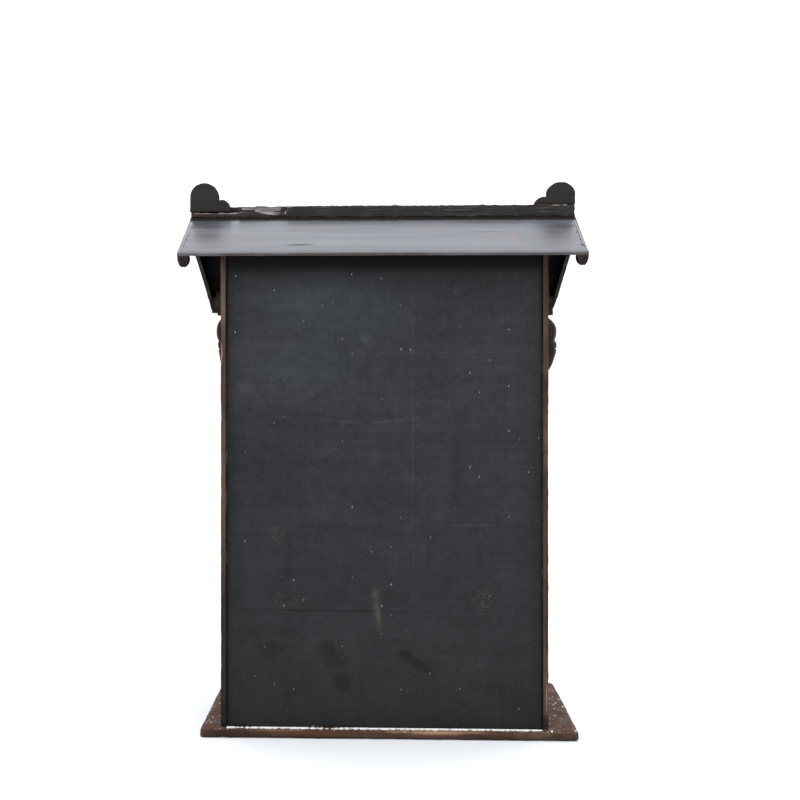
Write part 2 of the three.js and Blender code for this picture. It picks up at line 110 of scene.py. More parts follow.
class Wire:
    """A value inside a shader. Arithmetic on it adds Math nodes."""

    def __init__(self, graph: "Graph", socket: bpy.types.NodeSocket) -> None:
        """Keeps the shader and the output socket that carries the value."""
        self.graph = graph
        self.socket = socket

    def _math(self, operation: str, *values: "Wire | float", clamp: bool = False) -> "Wire":
        """Adds a Math node for these values; clamp keeps its result between 0 and 1."""
        settings = {"operation": operation, "use_clamp": clamp}
        return self.graph.add("ShaderNodeMath", settings, dict(enumerate(values)))

    def __add__(self, other: "Wire | float") -> "Wire":
        """Sum."""
        return self._math("ADD", self, other)

    __radd__ = __add__

    def __sub__(self, other: "Wire | float") -> "Wire":
        """Difference."""
        return self._math("SUBTRACT", self, other)

    def __rsub__(self, other: "Wire | float") -> "Wire":
        """Difference the other way round, as in 1 - mask."""
        return self._math("SUBTRACT", other, self)

    def __mul__(self, other: "Wire | float") -> "Wire":
        """Product."""
        return self._math("MULTIPLY", self, other)

    __rmul__ = __mul__

    def __truediv__(self, other: "Wire | float") -> "Wire":
        """Quotient."""
        return self._math("DIVIDE", self, other)

    def __pow__(self, other: "Wire | float") -> "Wire":
        """Power."""
        return self._math("POWER", self, other)

    def held(self) -> "Wire":
        """The value kept between 0 and 1."""
        return self._math("ADD", self, 0.0, clamp=True)

    def rise(self, low: float, high: float) -> "Wire":
        """A soft step from 0 at low to 1 at high.

        Args:
            low: Where the step starts.
            high: Where it ends; below low for a step that falls.

        Returns:
            The step, between 0 and 1.
        """
        settings = {"interpolation_type": "SMOOTHSTEP"}
        sockets = {"Value": self, "From Min": low, "From Max": high}
        if low < high:
            return self.graph.add("ShaderNodeMapRange", settings, sockets)
        sockets.update({"From Min": high, "From Max": low})
        return 1 - self.graph.add("ShaderNodeMapRange", settings, sockets)


class Graph:
    """The node tree of one material."""

    def __init__(self, name: str, shift: Point = (0, 0, 0)) -> None:
        """Makes an empty material.

        Args:
            name: The material's name.
            shift: Moves the patterns on stretched coordinates, so that no two boards are alike.
        """
        self.shift = shift
        self.material = bpy.data.materials.new(name)
        self.material.use_nodes = True
        self.tree = self.material.node_tree
        self.tree.nodes.clear()
        self.place = self.add("ShaderNodeTexCoord", out="Object")

    def add(
        self,
        kind: str,
        settings: Mapping[str, object] | None = None,
        sockets: Mapping[str | int, object] | None = None,
        out: str | int = 0,
    ) -> Wire:
        """Adds one node of any kind.

        Args:
            kind: The node's type.
            settings: Its properties; the key stops holds a ramp's stops as (place, colour) pairs.
            sockets: Values or wires for its input sockets, by name or number.
            out: The output socket to hand back.

        Returns:
            The chosen output.
        """
        node = self.tree.nodes.new(kind)
        for key, value in (settings or {}).items():
            if key == "stops":
                self._set_stops(node.color_ramp, value)
            else:
                setattr(node, key, value)
        for key, value in (sockets or {}).items():
            if isinstance(value, Wire):
                self.tree.links.new(value.socket, node.inputs[key])
            else:
                node.inputs[key].default_value = value
        return Wire(self, node.outputs[out] if node.outputs else None)

    @staticmethod
    def _set_stops(ramp: bpy.types.ColorRamp, stops: Sequence[tuple[float, Colour]]) -> None:
        """Gives a colour ramp its stops.

        Args:
            ramp: The ramp.
            stops: Pairs of place and colour, in rising order.
        """
        while len(ramp.elements) < len(stops):
            ramp.elements.new(1.0)
        for element, (place, colour) in zip(ramp.elements, stops):
            element.position = place
            element.color = (*colour, 1.0)

    def blend(self, factor: Wire | float, first: Wire | Colour, second: Wire | Colour) -> Wire:
        """Mixes two colours.

        Args:
            factor: 0 gives the first colour and 1 the second.
            first: A colour or a wire that carries one.
            second: The other one.

        Returns:
            The mixed colour.
        """
        settings = {"data_type": "RGBA"}
        values = [v if isinstance(v, Wire) else (*v, 1.0) for v in (first, second)]
        return self.add("ShaderNodeMix", settings, {0: factor, 6: values[0], 7: values[1]}, out=2)

    def scaled(self, colour: Wire, share: Wire) -> Wire:
        """A colour with each of its channels multiplied by a share."""
        return self.add("ShaderNodeVectorMath", {"operation": "SCALE"}, {0: colour, "Scale": share})

    def axes(self) -> tuple[Wire, Wire, Wire]:
        """Takes the object coordinates apart.

        Returns:
            A wire for x, one for y and one for z.
        """
        kind = "ShaderNodeSeparateXYZ"
        x = self.add(kind, None, {0: self.place}, 0)
        return x, *(Wire(self, x.socket.node.outputs[i]) for i in (1, 2))

    def stretched(self, scale: Point = (1, 1, 1), turn: Point = (0, 0, 0)) -> Wire:
        """Object coordinates, scaled along each axis, turned by radians and shifted."""
        sockets = {"Vector": self.place, "Scale": scale, "Rotation": turn, "Location": self.shift}
        return self.add("ShaderNodeMapping", None, sockets)

    def noise(self, vector: Wire, scale: float, detail: float = 4, rough: float = 0.5) -> Wire:
        """Cloudy noise around 0.5: scale clouds to the metre, in detail octaves."""
        sockets = {"Vector": vector, "Scale": scale, "Detail": detail, "Roughness": rough}
        return self.add("ShaderNodeTexNoise", None, sockets)

    def streaks(
        self, grain: Axis, along: float, across: float, detail: float = 4, rough: float = 0.6,
    ) -> Wire:
        """Noise drawn out along a board's grain.

        Args:
            grain: The direction of the grain.
            along: Clouds to the metre along it.
            across: Clouds to the metre across it.
            detail: Octaves.
            rough: How strong the finer octaves are.

        Returns:
            The noise, around 0.5.
        """
        scale = [across] * 3
        scale[grain.value] = along
        return self.noise(self.stretched(tuple(scale)), 1, detail, rough)

    def specks(
        self, vector: Wire, scale: float, size: float, share: float, flat: bool = False,
    ) -> Wire:
        """Scattered small specks, each with a strength of its own.

        Args:
            vector: The coordinates.
            scale: Cells to the metre.
            size: Radius of a speck, as a share of its cell.
            share: The share of cells that has a speck.
            flat: Whether the cells are columns along the vector's last axis.

        Returns:
            Up to 1 inside a speck and 0 outside.
        """
        settings = {"voronoi_dimensions": "2D" if flat else "3D"}
        sockets = {"Vector": vector, "Scale": scale}
        near = self.add("ShaderNodeTexVoronoi", settings, sockets, "Distance")
        chosen = Wire(self, near.socket.node.outputs["Color"])
        pick = self.add("ShaderNodeSeparateColor", None, {0: chosen}, 0)
        strength = Wire(self, pick.socket.node.outputs[1])
        inside = near.rise(size, size * 0.4) * pick.rise(share, share * 0.9)
        return inside * (strength * 0.7 + 0.3)

    def rim(self) -> Wire:
        """Distance from the nearest arris of the piece, in metres."""
        settings = {"attribute_type": "GEOMETRY", "attribute_name": RIM}
        return self.add("ShaderNodeAttribute", settings, None, "Fac")

    def facing_up(self) -> Wire:
        """1 on a face that looks up, 0 on an upright one."""
        normal = self.add("ShaderNodeNewGeometry", None, None, "Normal")
        return self.add("ShaderNodeSeparateXYZ", None, {0: normal}, 2)

    def bump(self, height: Wire, strength: float, depth: float) -> Wire:
        """Turns a relief of 0 to 1, in which 1 stands for depth metres, into a normal."""
        sockets = {"Strength": strength, "Distance": depth, "Height": height}
        return self.add("ShaderNodeBump", None, sockets)

    def finish(
        self, sockets: Mapping[str, object], dull: Mapping[str, object] | None = None,
        share: Wire | None = None,
    ) -> bpy.types.Material:
        """Closes the tree with the surface shader.

        Args:
            sockets: What goes into the shader's sockets.
            dull: What goes into the sockets of a second shader, for marks without gloss and for
                painted shadow.
            share: Where the second shader shows.

        Returns:
            The material.
        """
        shader = self.add("ShaderNodeBsdfPrincipled", None, sockets)
        if dull is not None:
            second = self.add("ShaderNodeBsdfPrincipled", None, dull)
            shader = self.add("ShaderNodeMixShader", None, {0: share, 1: shader, 2: second})
        self.add("ShaderNodeOutputMaterial", None, {"Surface": shader})
        return self.material


@dataclass(frozen=True)
class Mark:
    """A smudge, scuff or scratch: a frayed ellipse, on an upright board or lying on a slope."""

    x: float
    up: float
    half_width: float
    half_height: float
    turn: float = 0.0
    strength: float = 1.0
    lying: bool = False
    core: float = 0.3

    def mask(self, graph: Graph, fray: Wire) -> Wire:
        """The mark as a mask.

        Args:
            graph: The shader.
            fray: Noise that frays the border.

        Returns:
            The strength in the middle, falling to 0 at the border.
        """
        x, y, z = graph.axes()
        up = y if self.lying else z
        cos, sin = math.cos(self.turn), math.sin(self.turn)
        along = ((x - self.x) * cos + (up - self.up) * sin) / self.half_width
        across = ((up - self.up) * cos - (x - self.x) * sin) / self.half_height
        reach = (along * along + across * across) ** 0.5 + (fray - 0.5) * 0.8
        return reach.rise(1.3, self.core) * self.strength


def together(
    graph: Graph, marks: Sequence[Mark], fray: Wire, behind: float | None = None,
) -> Wire | float:
    """Adds marks up into one mask.

    Args:
        graph: The shader.
        marks: The marks.
        fray: Noise that frays their borders.
        behind: The y from which on they show, or none where they show all through.

    Returns:
        The mask, or 0 without any mark.
    """
    total = 0.0
    for mark in marks:
        total = mark.mask(graph, fray) + total
    if behind is None or not marks:
        return total
    return total * graph.axes()[1].rise(behind - MM, behind)


@dataclass(frozen=True)
class Lacquer:
    """Old black lacquer over brown wood, rubbed through along the arrises."""

    name: str
    coat: Colour = tone(19, 18, 18)
    haze: Colour = tone(33, 31, 31)
    undercoat: Colour = tone(46, 30, 26)
    wood: Colour = tone(74, 56, 45)
    silver: Colour = tone(104, 95, 90)
    blush_and_highlight: Colour = tone(84, 46, 40)
    fleck: Colour = tone(120, 118, 116)
    roughness: float = 0.45
    patchiness: float = 0.12
    gloss: float = 0.16
    wear: float = 1.3 * MM
    bareness: float = 0.45
    grain: Axis = Axis.X
    flecks: float = 0.03
    streaks: float = 0.5
    raised: float = 0.0
    gashes_and_shade: tuple[Mark, ...] = ()
    blushes_and_highlights: tuple[Mark, ...] = ()
    behind: float | None = None
    worn: float = 0.54

    def make(self, seed: float = 0.0) -> bpy.types.Material:
        """Builds the material.

        Args:
            seed: Moves the pattern, so that no two boards are alike.

        Returns:
            The material.
        """
        graph = Graph(self.name, (seed * 1.7, seed * 2.3, seed * 0.9))
        here = graph.stretched()
        fibres = graph.streaks(self.grain, 5, 150, 6)
        brushed = graph.streaks(self.grain, 3, 60, 5)
        clouds = graph.noise(here, 9, 5, 0.6)
        fine = graph.noise(here, 320, 2, 0.5)

        hazy = (clouds.rise(0.36, 0.7) * 0.5 + brushed.rise(0.38, 0.7) * self.streaks).held()
        colour = graph.blend(hazy, self.coat, self.haze)
        if self.raised:
            splintered = graph.streaks(self.grain, 22, 420, 5, 0.7)
            silvered = splintered.rise(0.5, 0.7) * graph.noise(here, 24, 4, 0.6).rise(0.4, 0.62)
            colour = graph.blend(silvered * self.raised, colour, self.silver)
        rim = graph.rim()
        ragged = graph.noise(here, 170, 5, 0.65)
        patchy = graph.noise(here, 13, 3, 0.5)
        reach = rim / self.wear + (ragged - 0.5) * 2.4 + (self.worn - patchy) * 7
        rubbed = reach.rise(1.5, 0.4)
        bare = reach.rise(0.5, -0.4) * self.bareness
        primer = graph.blend(fibres, self.undercoat, tone(34, 25, 23))
        grained = graph.blend(fibres, self.wood, tone(50, 37, 31))
        colour = graph.blend(rubbed * 0.85, colour, primer)
        colour = graph.blend(bare, colour, grained)
        # Blush marks; on the ridge beam one of them is a painted highlight.
        blush_and_highlight = together(graph, self.blushes_and_highlights, graph.noise(here, 70, 5, 0.7), self.behind)
        if self.blushes_and_highlights:
            colour = graph.blend(blush_and_highlight.held(), colour, self.blush_and_highlight)
        pale = graph.specks(here, 150, 0.16, self.flecks) * fine.rise(0.3, 0.5)
        colour = graph.blend(pale * 0.7, colour, self.fleck)

        patches = self.patchiness * 2
        uneven = (clouds - 0.5) * patches + (brushed - 0.5) * patches
        roughness = (self.roughness + uneven + rubbed * 0.28 + bare * 0.15 + pale * 0.2).held()
        relief = fibres * 0.6 + fine * 0.25 - rubbed * 0.5
        sockets = {
            "Base Color": colour,
            "Roughness": roughness,
            "Specular IOR Level": self.gloss,
            "Normal": graph.bump(relief, 0.3, 0.22 * MM),
        }
        if not self.gashes_and_shade:
            return graph.finish(sockets)
        # The dull dark shader carries the gashes and the painted shadow under the ridge beam.
        gash_and_shade = together(graph, self.gashes_and_shade, graph.noise(here, 400, 3, 0.6)).held()
        dull = {"Base Color": (*tone(24, 20, 19), 1.0), "Roughness": 0.9, "Specular IOR Level": 0.05}
        return graph.finish(sockets, dull, gash_and_shade)


@dataclass(frozen=True)
class Shelter:
    """Painted shade: dull near-black paint, faintly mottled, on undersides and inner faces that stand
    in shade.
    """

    name: str = "painted_shade_black"
    coat: Colour = tone(10, 9, 9)
    dusty: Colour = tone(20, 19, 18)

    def make(self) -> bpy.types.Material:
        """Builds the material.

        Returns:
            The material.
        """
        graph = Graph(self.name)
        clouds = graph.noise(graph.place, 24, 5, 0.6)
        grit = graph.noise(graph.place, 300, 3, 0.6)
        return graph.finish({
            "Base Color": graph.blend(clouds.rise(0.4, 0.75), self.coat, self.dusty),
            "Roughness": clouds * 0.1 + 0.8,
            "Specular IOR Level": 0.06,
            "Normal": graph.bump(grit, 0.3, 0.3 * MM),
        })


@dataclass(frozen=True)
class PanelLacquer:
    """Dull grey-black lacquer, brushed on thinly: blotched, scuffed and freckled like a slate;
    painted light and shade vary it with height, towards the sides and along its edges.
    """

    name: str = "panel_lacquer"
    coat: Colour = tone(37, 38, 40)
    yellowed: Colour = tone(96, 93, 74)
    fleck: Colour = tone(150, 152, 154)
    chalk: Colour = tone(56, 62, 63)
    earthy: Colour = tone(35, 33, 31)
    roughness: float = 0.62
    gloss: float = 0.12
    foot: float = 14 * MM
    top: float = 740 * MM
    middle: float = -3 * MM
    face: float = 122 * MM
    half_width: float = 237 * MM
    # Painted light: shares of the coat up the panel's height. Painted shade of the eave at the top, a
    # brighter band below it, and darker towards the foot.
    fading: Outline = (
        (0.0, 0.45), (0.05, 0.66), (0.15, 0.84), (0.6, 0.95), (0.75, 1.15), (0.9, 1.15),
        (0.94, 0.8), (0.955, 0.14), (1.0, 0.04))
    smudges: tuple[Mark, ...] = (
        Mark(0.1673, 0.1286, 0.0165, 0.016, strength=0.55, core=0.6),
        Mark(0.150, 0.133, 0.005, 0.005, strength=0.35),
        Mark(0.082, 0.1345, 0.014, 0.012, 0.4, strength=0.6, core=0.6),
        Mark(0.070, 0.1170, 0.021, 0.013, strength=0.6, core=0.6),
        Mark(0.0591, 0.0835, 0.0155, 0.0155, strength=0.9, core=0.6),
        Mark(-0.0207, 0.145, 0.008, 0.006, strength=0.75),
        Mark(-0.0350, 0.1235, 0.010, 0.009, strength=0.8, core=0.6),
        Mark(-0.0540, 0.1115, 0.028, 0.0078, 0.585, strength=0.8, core=0.6),
        Mark(0.06, 0.1895, 0.150, 0.0014, 0.004, strength=0.9),
        Mark(-0.1147, 0.40, 0.012, 0.075, strength=0.25),
        Mark(-0.1475, 0.262, 0.006, 0.05, -0.12, strength=0.25),
        Mark(0.008, 0.344, 0.024, 0.0022, 0.78, strength=0.35),
        Mark(-0.098, 0.627, 0.13, 0.14, strength=0.18),
    )
    scuffs: tuple[Mark, ...] = (
        Mark(-0.05, 0.5785, 0.178, 0.0012, 0.002, strength=0.45),
        Mark(0.1400, 0.4810, 0.034, 0.0018, 0.03, strength=0.35),
        Mark(0.0710, 0.4760, 0.046, 0.0022, 0.109, strength=0.5),
        Mark(-0.009, 0.4749, 0.045, 0.0026, -0.083, strength=0.6),
        Mark(-0.148, 0.319, 0.075, 0.0014, strength=0.5),
        Mark(-0.0464, 0.45, 0.0009, 0.24, strength=0.5),
        Mark(-0.0500, 0.29, 0.0012, 0.035, 0.12, strength=0.5),
        Mark(-0.1142, 0.131, 0.0010, 0.029, strength=0.6),
        Mark(-0.135, 0.187, 0.05, 0.0013, strength=0.45),
        Mark(-0.157, 0.5115, 0.020, 0.0011, strength=0.45),
        Mark(0.2079, 0.5269, 0.013, 0.009, 0.4, strength=0.6),
        Mark(0.0245, 0.6002, 0.011, 0.009, strength=0.45),
        Mark(0.1, 0.147, 0.1, 0.004, -0.04, strength=0.25),
        Mark(-0.16, 0.045, 0.05, 0.02, 0.3, strength=0.25),
        Mark(0.12, 0.52, 0.14, 0.03, -0.05, strength=0.15),
    )
    drips: tuple[Mark, ...] = (
        Mark(0.0060, 0.188, 0.0036, 0.028, -0.13, strength=0.15, core=0.0),
        Mark(0.0066, 0.190, 0.0085, 0.034, -0.13, strength=0.16, core=0.0),
        Mark(0.0100, 0.215, 0.0080, 0.009, strength=0.17, core=0.0),
    )
    hazes: tuple[Mark, ...] = (
        Mark(0.075, 0.645, 0.125, 0.048, 0.05, strength=0.36, core=0.1),
        Mark(0.110, 0.560, 0.090, 0.036, -0.1, strength=0.27, core=0.1),
        Mark(-0.150, 0.600, 0.070, 0.050, strength=0.08, core=0.1),
    )
    blooms: tuple[Mark, ...] = (
        Mark(0.1444, 0.2055, 0.024, 0.014),
        Mark(-0.1471, 0.2075, 0.030, 0.020),
        Mark(0.158, 0.3019, 0.016, 0.020),
        Mark(-0.080, 0.520, 0.009, 0.006),
    )

    def make(self) -> bpy.types.Material:
        """Builds the material.

        Returns:
            The material.
        """
        graph = Graph(self.name)
        x, _, z = graph.axes()
        height = (z - self.foot) / (self.top - self.foot)
        # Painted light: the coat scaled by the height ramp above.
        stops = [
            (place, tuple(channel * share for channel in self.coat)) for place, share in self.fading]
        colour = graph.add("ShaderNodeValToRGB", {"stops": stops}, {0: height})

        blotches = graph.noise(graph.place, 11, 5, 0.62)
        mottle = graph.noise(graph.stretched((0.7, 1, 1)), 75, 5, 0.72)
        brushing = graph.streaks(Axis.X, 7, 190, 5, 0.7)
        strokes = (brushing - 0.5) * blotches.rise(0.3, 0.75) * 1.6 + 0.5
        bands = graph.streaks(Axis.X, 2, 40)
        upright = graph.streaks(Axis.Z, 3, 120)
        grit = graph.noise(graph.place, 520, 2, 0.6)
        uneven = (
            (blotches - 0.5) * 0.85 + (mottle - 0.5) * 1.05 + (strokes - 0.5) * 0.8
            + (bands - 0.5) * 0.35 + (upright - 0.5) * 0.35 + (grit - 0.5) * 0.9)

        fray = graph.noise(graph.place, 75, 4, 0.65)
        darker = together(graph, self.smudges, fray, self.face).held() * 0.62
        paler = together(graph, self.scuffs, fray, self.face) * mottle.rise(0.25, 0.6) * 0.9
        # Painted shade: the panel darkens towards the side boards.
        offside = (x - self.middle) * (x - self.middle) / (self.half_width * self.half_width)
        side_shade = 1 - offside ** 6 * 0.42
        # Painted shade: darker within a few millimetres of the edges, in the recess along the side
        # boards.
        rim_shade = graph.rim().rise(0.3 * MM, 4.5 * MM) * 0.5 + 0.5
        share = (1 + uneven + paler) * (1 - darker) * side_shade * rim_shade
        colour = graph.scaled(colour, share)
        hazy = together(graph, self.hazes, fray, self.face).held() * (mottle * 0.8 + 0.4).held()
        colour = graph.blend(hazy, colour, self.chalk)
        colour = graph.blend(height.rise(0.45, 0.0) * blotches * 0.5, colour, self.earthy)

        colour = graph.blend(together(graph, self.drips, fray, self.face), colour, self.yellowed)
        quarter_turn = (-math.pi / 2, 0, 0)
        upended = graph.stretched(turn=quarter_turn)
        bloom = together(graph, self.blooms, fray, self.face).held()
        freckles = graph.specks(upended, 330, 0.36, 0.42, flat=True) * bloom
        colour = graph.blend(freckles * 0.5, colour, self.yellowed)
        tall = graph.stretched((1, 1, 0.5), quarter_turn)
        flecks = graph.specks(tall, 68, 0.068, 0.09, flat=True) * fray.rise(0.25, 0.6)
        pinpoints = graph.specks(upended, 190, 0.13, 0.04, flat=True) * 0.3
        colour = graph.blend((flecks + pinpoints).held() * 0.85, colour, self.fleck)

        relief = strokes * 0.5 + grit * 0.3 + mottle * 0.3
        return graph.finish({
            "Base Color": colour,
            "Roughness": (self.roughness + (mottle - 0.5) * 0.2 + (strokes - 0.5) * 0.2).held(),
            "Specular IOR Level": self.gloss,
            "Normal": graph.bump(relief, 0.25, 0.2 * MM),
        })


@dataclass(frozen=True)
class BareWood:
    """Brown unpainted wood, grey with age, with dust lying on what faces up, and up-facing faces
    warmed as painted light.
    """

    name: str
    light: Colour = tone(70, 56, 48)
    dark: Colour = tone(44, 35, 31)
    stain: Colour = tone(29, 25, 24)
    polished: Colour = tone(84, 66, 54)
    golden: Colour = tone(146, 116, 90)
    painted_top_warmth: Colour = tone(74, 45, 26)
    film: Colour = tone(92, 74, 62)
    powder: Colour = tone(218, 211, 205)
    grain: Axis = Axis.X
    roughness: float = 0.68
    gloss: float = 0.08
    dust: float = 0.6
    stained: float = 0.4
    fraying: float = 110
    behind: float | None = None
    stains_and_shade: tuple[Mark, ...] = ()
    gilded: tuple[Mark, ...] = ()

    def make(self, seed: float = 0.0) -> bpy.types.Material:
        """Builds the material.

        Args:
            seed: Moves the pattern, so that no two boards are alike.

        Returns:
            The material.
        """
        graph = Graph(self.name, (seed * 1.3, seed * 0.7, seed * 2.1))
        here = graph.stretched()
        fibres = graph.streaks(self.grain, 9, 240, 6, 0.65)
        bands = graph.streaks(self.grain, 3, 52, 4, 0.5)
        clouds = graph.noise(here, 15, 5, 0.6)
        fine = graph.noise(here, 380, 3, 0.6)
        fray = graph.noise(here, self.fraying, 4, 0.65)

        shade = (fibres.rise(0.3, 0.7) * 0.55 + bands.rise(0.35, 0.65) * 0.45).held()
        colour = graph.blend(shade, self.dark, self.light)
        stains = clouds.rise(0.46, 0.7) * self.stained
        colour = graph.blend(stains, colour, self.stain)

        rim = graph.rim()
        handled = rim / (2.2 * MM) + (graph.noise(here, 90, 4, 0.6) - 0.5) * 2.4
        rubbed = handled.rise(1.2, 0.2) * graph.noise(here, 9, 3, 0.5).rise(0.45, 0.62)
        colour = graph.blend(rubbed * 0.7, colour, self.polished)
        if self.gilded:
            worn = together(graph, self.gilded, fray, self.behind).held()
            colour = graph.blend(worn * (fibres * 0.8 + 0.5).held(), colour, self.golden)
        # Stains, and painted shade where a mark stands for it, such as the groove beside the back
        # panel.
        if self.stains_and_shade:
            stain_and_shade = together(graph, self.stains_and_shade, fray).held()
            colour = graph.blend(stain_and_shade, colour, self.stain)

        # Painted light: faces that look up are warmed to offset the blue of the overhead sky. The
        # same mask also lays the dust.
        upward = graph.facing_up().rise(0.5, 0.9)
        colour = graph.blend(upward * 0.45, colour, self.painted_top_warmth)
        drift = graph.noise(here, 28, 4, 0.6).rise(0.38, 0.62)
        grit = graph.noise(here, 420, 3, 0.7).rise(0.56, 0.62) * drift
        spattered = graph.stretched((1, 0.42, 1))
        flecks = graph.specks(spattered, 200, 0.38, 0.42) * (drift * 0.9 + 0.25)
        dusty = (grit * 0.3 + flecks).held() * upward * self.dust
        colour = graph.blend(upward * drift * self.dust * 0.08, colour, self.film)
        colour = graph.blend(dusty, colour, self.powder)

        relief = fibres * 0.8 + fine * 0.3 + dusty * 0.5
        roughness = (self.roughness + (fibres - 0.5) * 0.2 - rubbed * 0.1 + dusty * 0.25).held()
        return graph.finish({
            "Base Color": colour,
            "Roughness": roughness,
            "Specular IOR Level": self.gloss,
            "Normal": graph.bump(relief, 0.5, 0.3 * MM),
        })


@dataclass(frozen=True)
class Iron:
    """Blackened iron of old nail heads, freckled with rust."""

    name: str = "nail_iron"
    roughness: float = 0.55

    def make(self) -> bpy.types.Material:
        """Builds the material.

        Returns:
            The material.
        """
        graph = Graph(self.name)
        rust = graph.noise(graph.place, 900, 4, 0.7).rise(0.5, 0.62)
        colour = graph.blend(rust, tone(42, 40, 40), tone(82, 50, 36))
        return graph.finish({
            "Base Color": colour,
            "Roughness": rust * 0.25 + self.roughness,
            "Metallic": (1 - rust) * 0.8,
            "Normal": graph.bump(rust, 0.4, 0.2 * MM),
        })


@dataclass(frozen=True)
class Dust:
    """Pale dust and lime that has gathered in a corner."""

    name: str = "pale_dust"

    def make(self) -> bpy.types.Material:
        """Builds the material.

        Returns:
            The material.
        """
        graph = Graph(self.name)
        grains = graph.noise(graph.place, 700, 4, 0.7)
        colour = graph.blend(grains.rise(0.35, 0.65), tone(190, 184, 179), tone(242, 240, 238))
        return graph.finish({
            "Base Color": colour,
            "Roughness": 0.95,
            "Specular IOR Level": 0.1,
            "Normal": graph.bump(grains, 0.7, 0.5 * MM),
        })


@dataclass(frozen=True)
class Work:
    """How a board is worked: its rounded arrises, the grid cut into it, its nicks and its warp.

    An edge counts as an arris from a turn of least degrees on, and nicks go reach deep into a face.
    """

    arris: float
    pitch: float
    axes: tuple[Axis, ...]
    nick: float
    warp: float
    least: float = 28.0
    reach: float = 3 * MM


class Bench:
    """The workbench: the modelling steps that every piece goes through."""

    @staticmethod
    def clear() -> None:
        """Leaves edit mode and deselects everything."""
        if bpy.context.object and bpy.context.object.mode != "OBJECT":
            bpy.ops.object.mode_set(mode="OBJECT")
        bpy.ops.object.select_all(action="DESELECT")

    @classmethod
    def take(cls, piece: Piece) -> None:
        """Makes one piece the only selected and the active one.

        Args:
            piece: The piece.
        """
        cls.clear()
        piece.select_set(True)
        bpy.context.view_layer.objects.active = piece

    @classmethod
    def block(cls, name: str, low: Vector, high: Vector) -> Piece:
        """Adds a block between two corners.

        Args:
            name: The piece's name.
            low: Its lowest corner.
            high: Its highest corner.

        Returns:
            The piece, at the origin, with its place in its mesh.
        """
        cls.clear()
        centre = (Vector(low) + Vector(high)) / 2
        bpy.ops.mesh.primitive_cube_add(size=1, location=centre)
        piece = bpy.context.object
        piece.scale = Vector(high) - Vector(low)
        piece.name = name
        cls.settle(piece)
        return piece

    @classmethod
    def copied(cls, name: str, node: str) -> Piece:
        """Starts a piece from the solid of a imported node.

        Args:
            name: The piece's name.
            node: The node.

        Returns:
            The piece, its doubles merged and its flat faces made whole.
        """
        cls.clear()
        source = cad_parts[node]
        mesh = source.data.copy()
        mesh.transform(source.matrix_world)
        mesh.materials.clear()
        piece = bpy.data.objects.new(name, mesh)
        bpy.context.collection.objects.link(piece)
        cls.take(piece)
        bpy.ops.object.mode_set(mode="EDIT")
        bpy.ops.mesh.select_all(action="SELECT")
        bpy.ops.mesh.remove_doubles(threshold=0.02 * MM)
        bpy.ops.mesh.dissolve_limited(angle_limit=math.radians(0.6))
        bpy.ops.object.mode_set(mode="OBJECT")
        return piece

    @classmethod
    def settle(cls, piece: Piece) -> None:
        """Moves a piece's place, turn and size into its mesh."""
        cls.take(piece)
        bpy.ops.object.transform_apply(location=True, rotation=True, scale=True)

    @classmethod
    def modify(cls, piece: Piece, kind: str, **settings: object) -> None:
        """Adds a modifier and applies it.

        Args:
            piece: The piece.
            kind: The modifier's type.
            settings: Its properties.
        """
        cls.take(piece)
        modifier = piece.modifiers.new(kind.lower(), kind)
        for key, value in settings.items():
            setattr(modifier, key, value)
        bpy.ops.object.modifier_apply(modifier=modifier.name)

    @classmethod
    def select_faces(cls, piece: Piece, wanted: Callable[[bmesh.types.BMFace], bool]) -> None:
        """Goes into edit mode with some faces selected.

        Args:
            piece: The piece.
            wanted: Says of a face whether it is selected.
        """
        cls.take(piece)
        bpy.ops.object.mode_set(mode="EDIT")
        bpy.ops.mesh.select_mode(type="FACE")
        bpy.ops.mesh.select_all(action="DESELECT")
        shape = bmesh.from_edit_mesh(piece.data)
        for face in shape.faces:
            if wanted(face):
                face.select_set(True)
        bmesh.update_edit_mesh(piece.data)

    @classmethod
    def saw(cls, piece: Piece, pitch: float, axes: Sequence[Axis]) -> None:
        """Cuts the faces into a grid, without parting anything.

        Args:
            piece: The piece.
            pitch: Distance between cuts.
            axes: The directions across which it is cut.
        """
        corners = [Vector(corner) for corner in piece.bound_box]
        cls.take(piece)
        bpy.ops.object.mode_set(mode="EDIT")
        for axis in axes:
            normal = Vector((0, 0, 0))
            normal[axis.value] = 1
            low = min(corner[axis.value] for corner in corners)
            high = max(corner[axis.value] for corner in corners)
            count = max(int((high - low) / pitch), 1)
            for step in range(1, count):
                place = Vector((0, 0, 0))
                place[axis.value] = low + (high - low) * step / count
                bpy.ops.mesh.select_all(action="SELECT")
                bpy.ops.mesh.bisect(plane_co=place, plane_no=normal)
        bpy.ops.object.mode_set(mode="OBJECT")

    @staticmethod
    def arrises(piece: Piece, least: float) -> np.ndarray:
        """The sharp edges of a piece.

        Args:
            piece: The piece.
            least: The turn in degrees from which an edge counts.

        Returns:
            An array of segments, each with its two ends.
        """
        shape = bmesh.new()
        shape.from_mesh(piece.data)
        limit = math.radians(least)
        found = [
            [list(edge.verts[0].co), list(edge.verts[1].co)]
            for edge in shape.edges
            if edge.is_manifold and edge.calc_face_angle() > limit
        ]
        shape.free()
        return np.array(found) if found else np.zeros((0, 2, 3))

    @staticmethod
    def places(piece: Piece) -> np.ndarray:
        """Reads where the vertices of a piece are.

        Args:
            piece: The piece.

        Returns:
            An array with a row for each vertex.
        """
        flat = np.empty(len(piece.data.vertices) * 3)
        piece.data.vertices.foreach_get("co", flat)
        return flat.reshape(-1, 3)

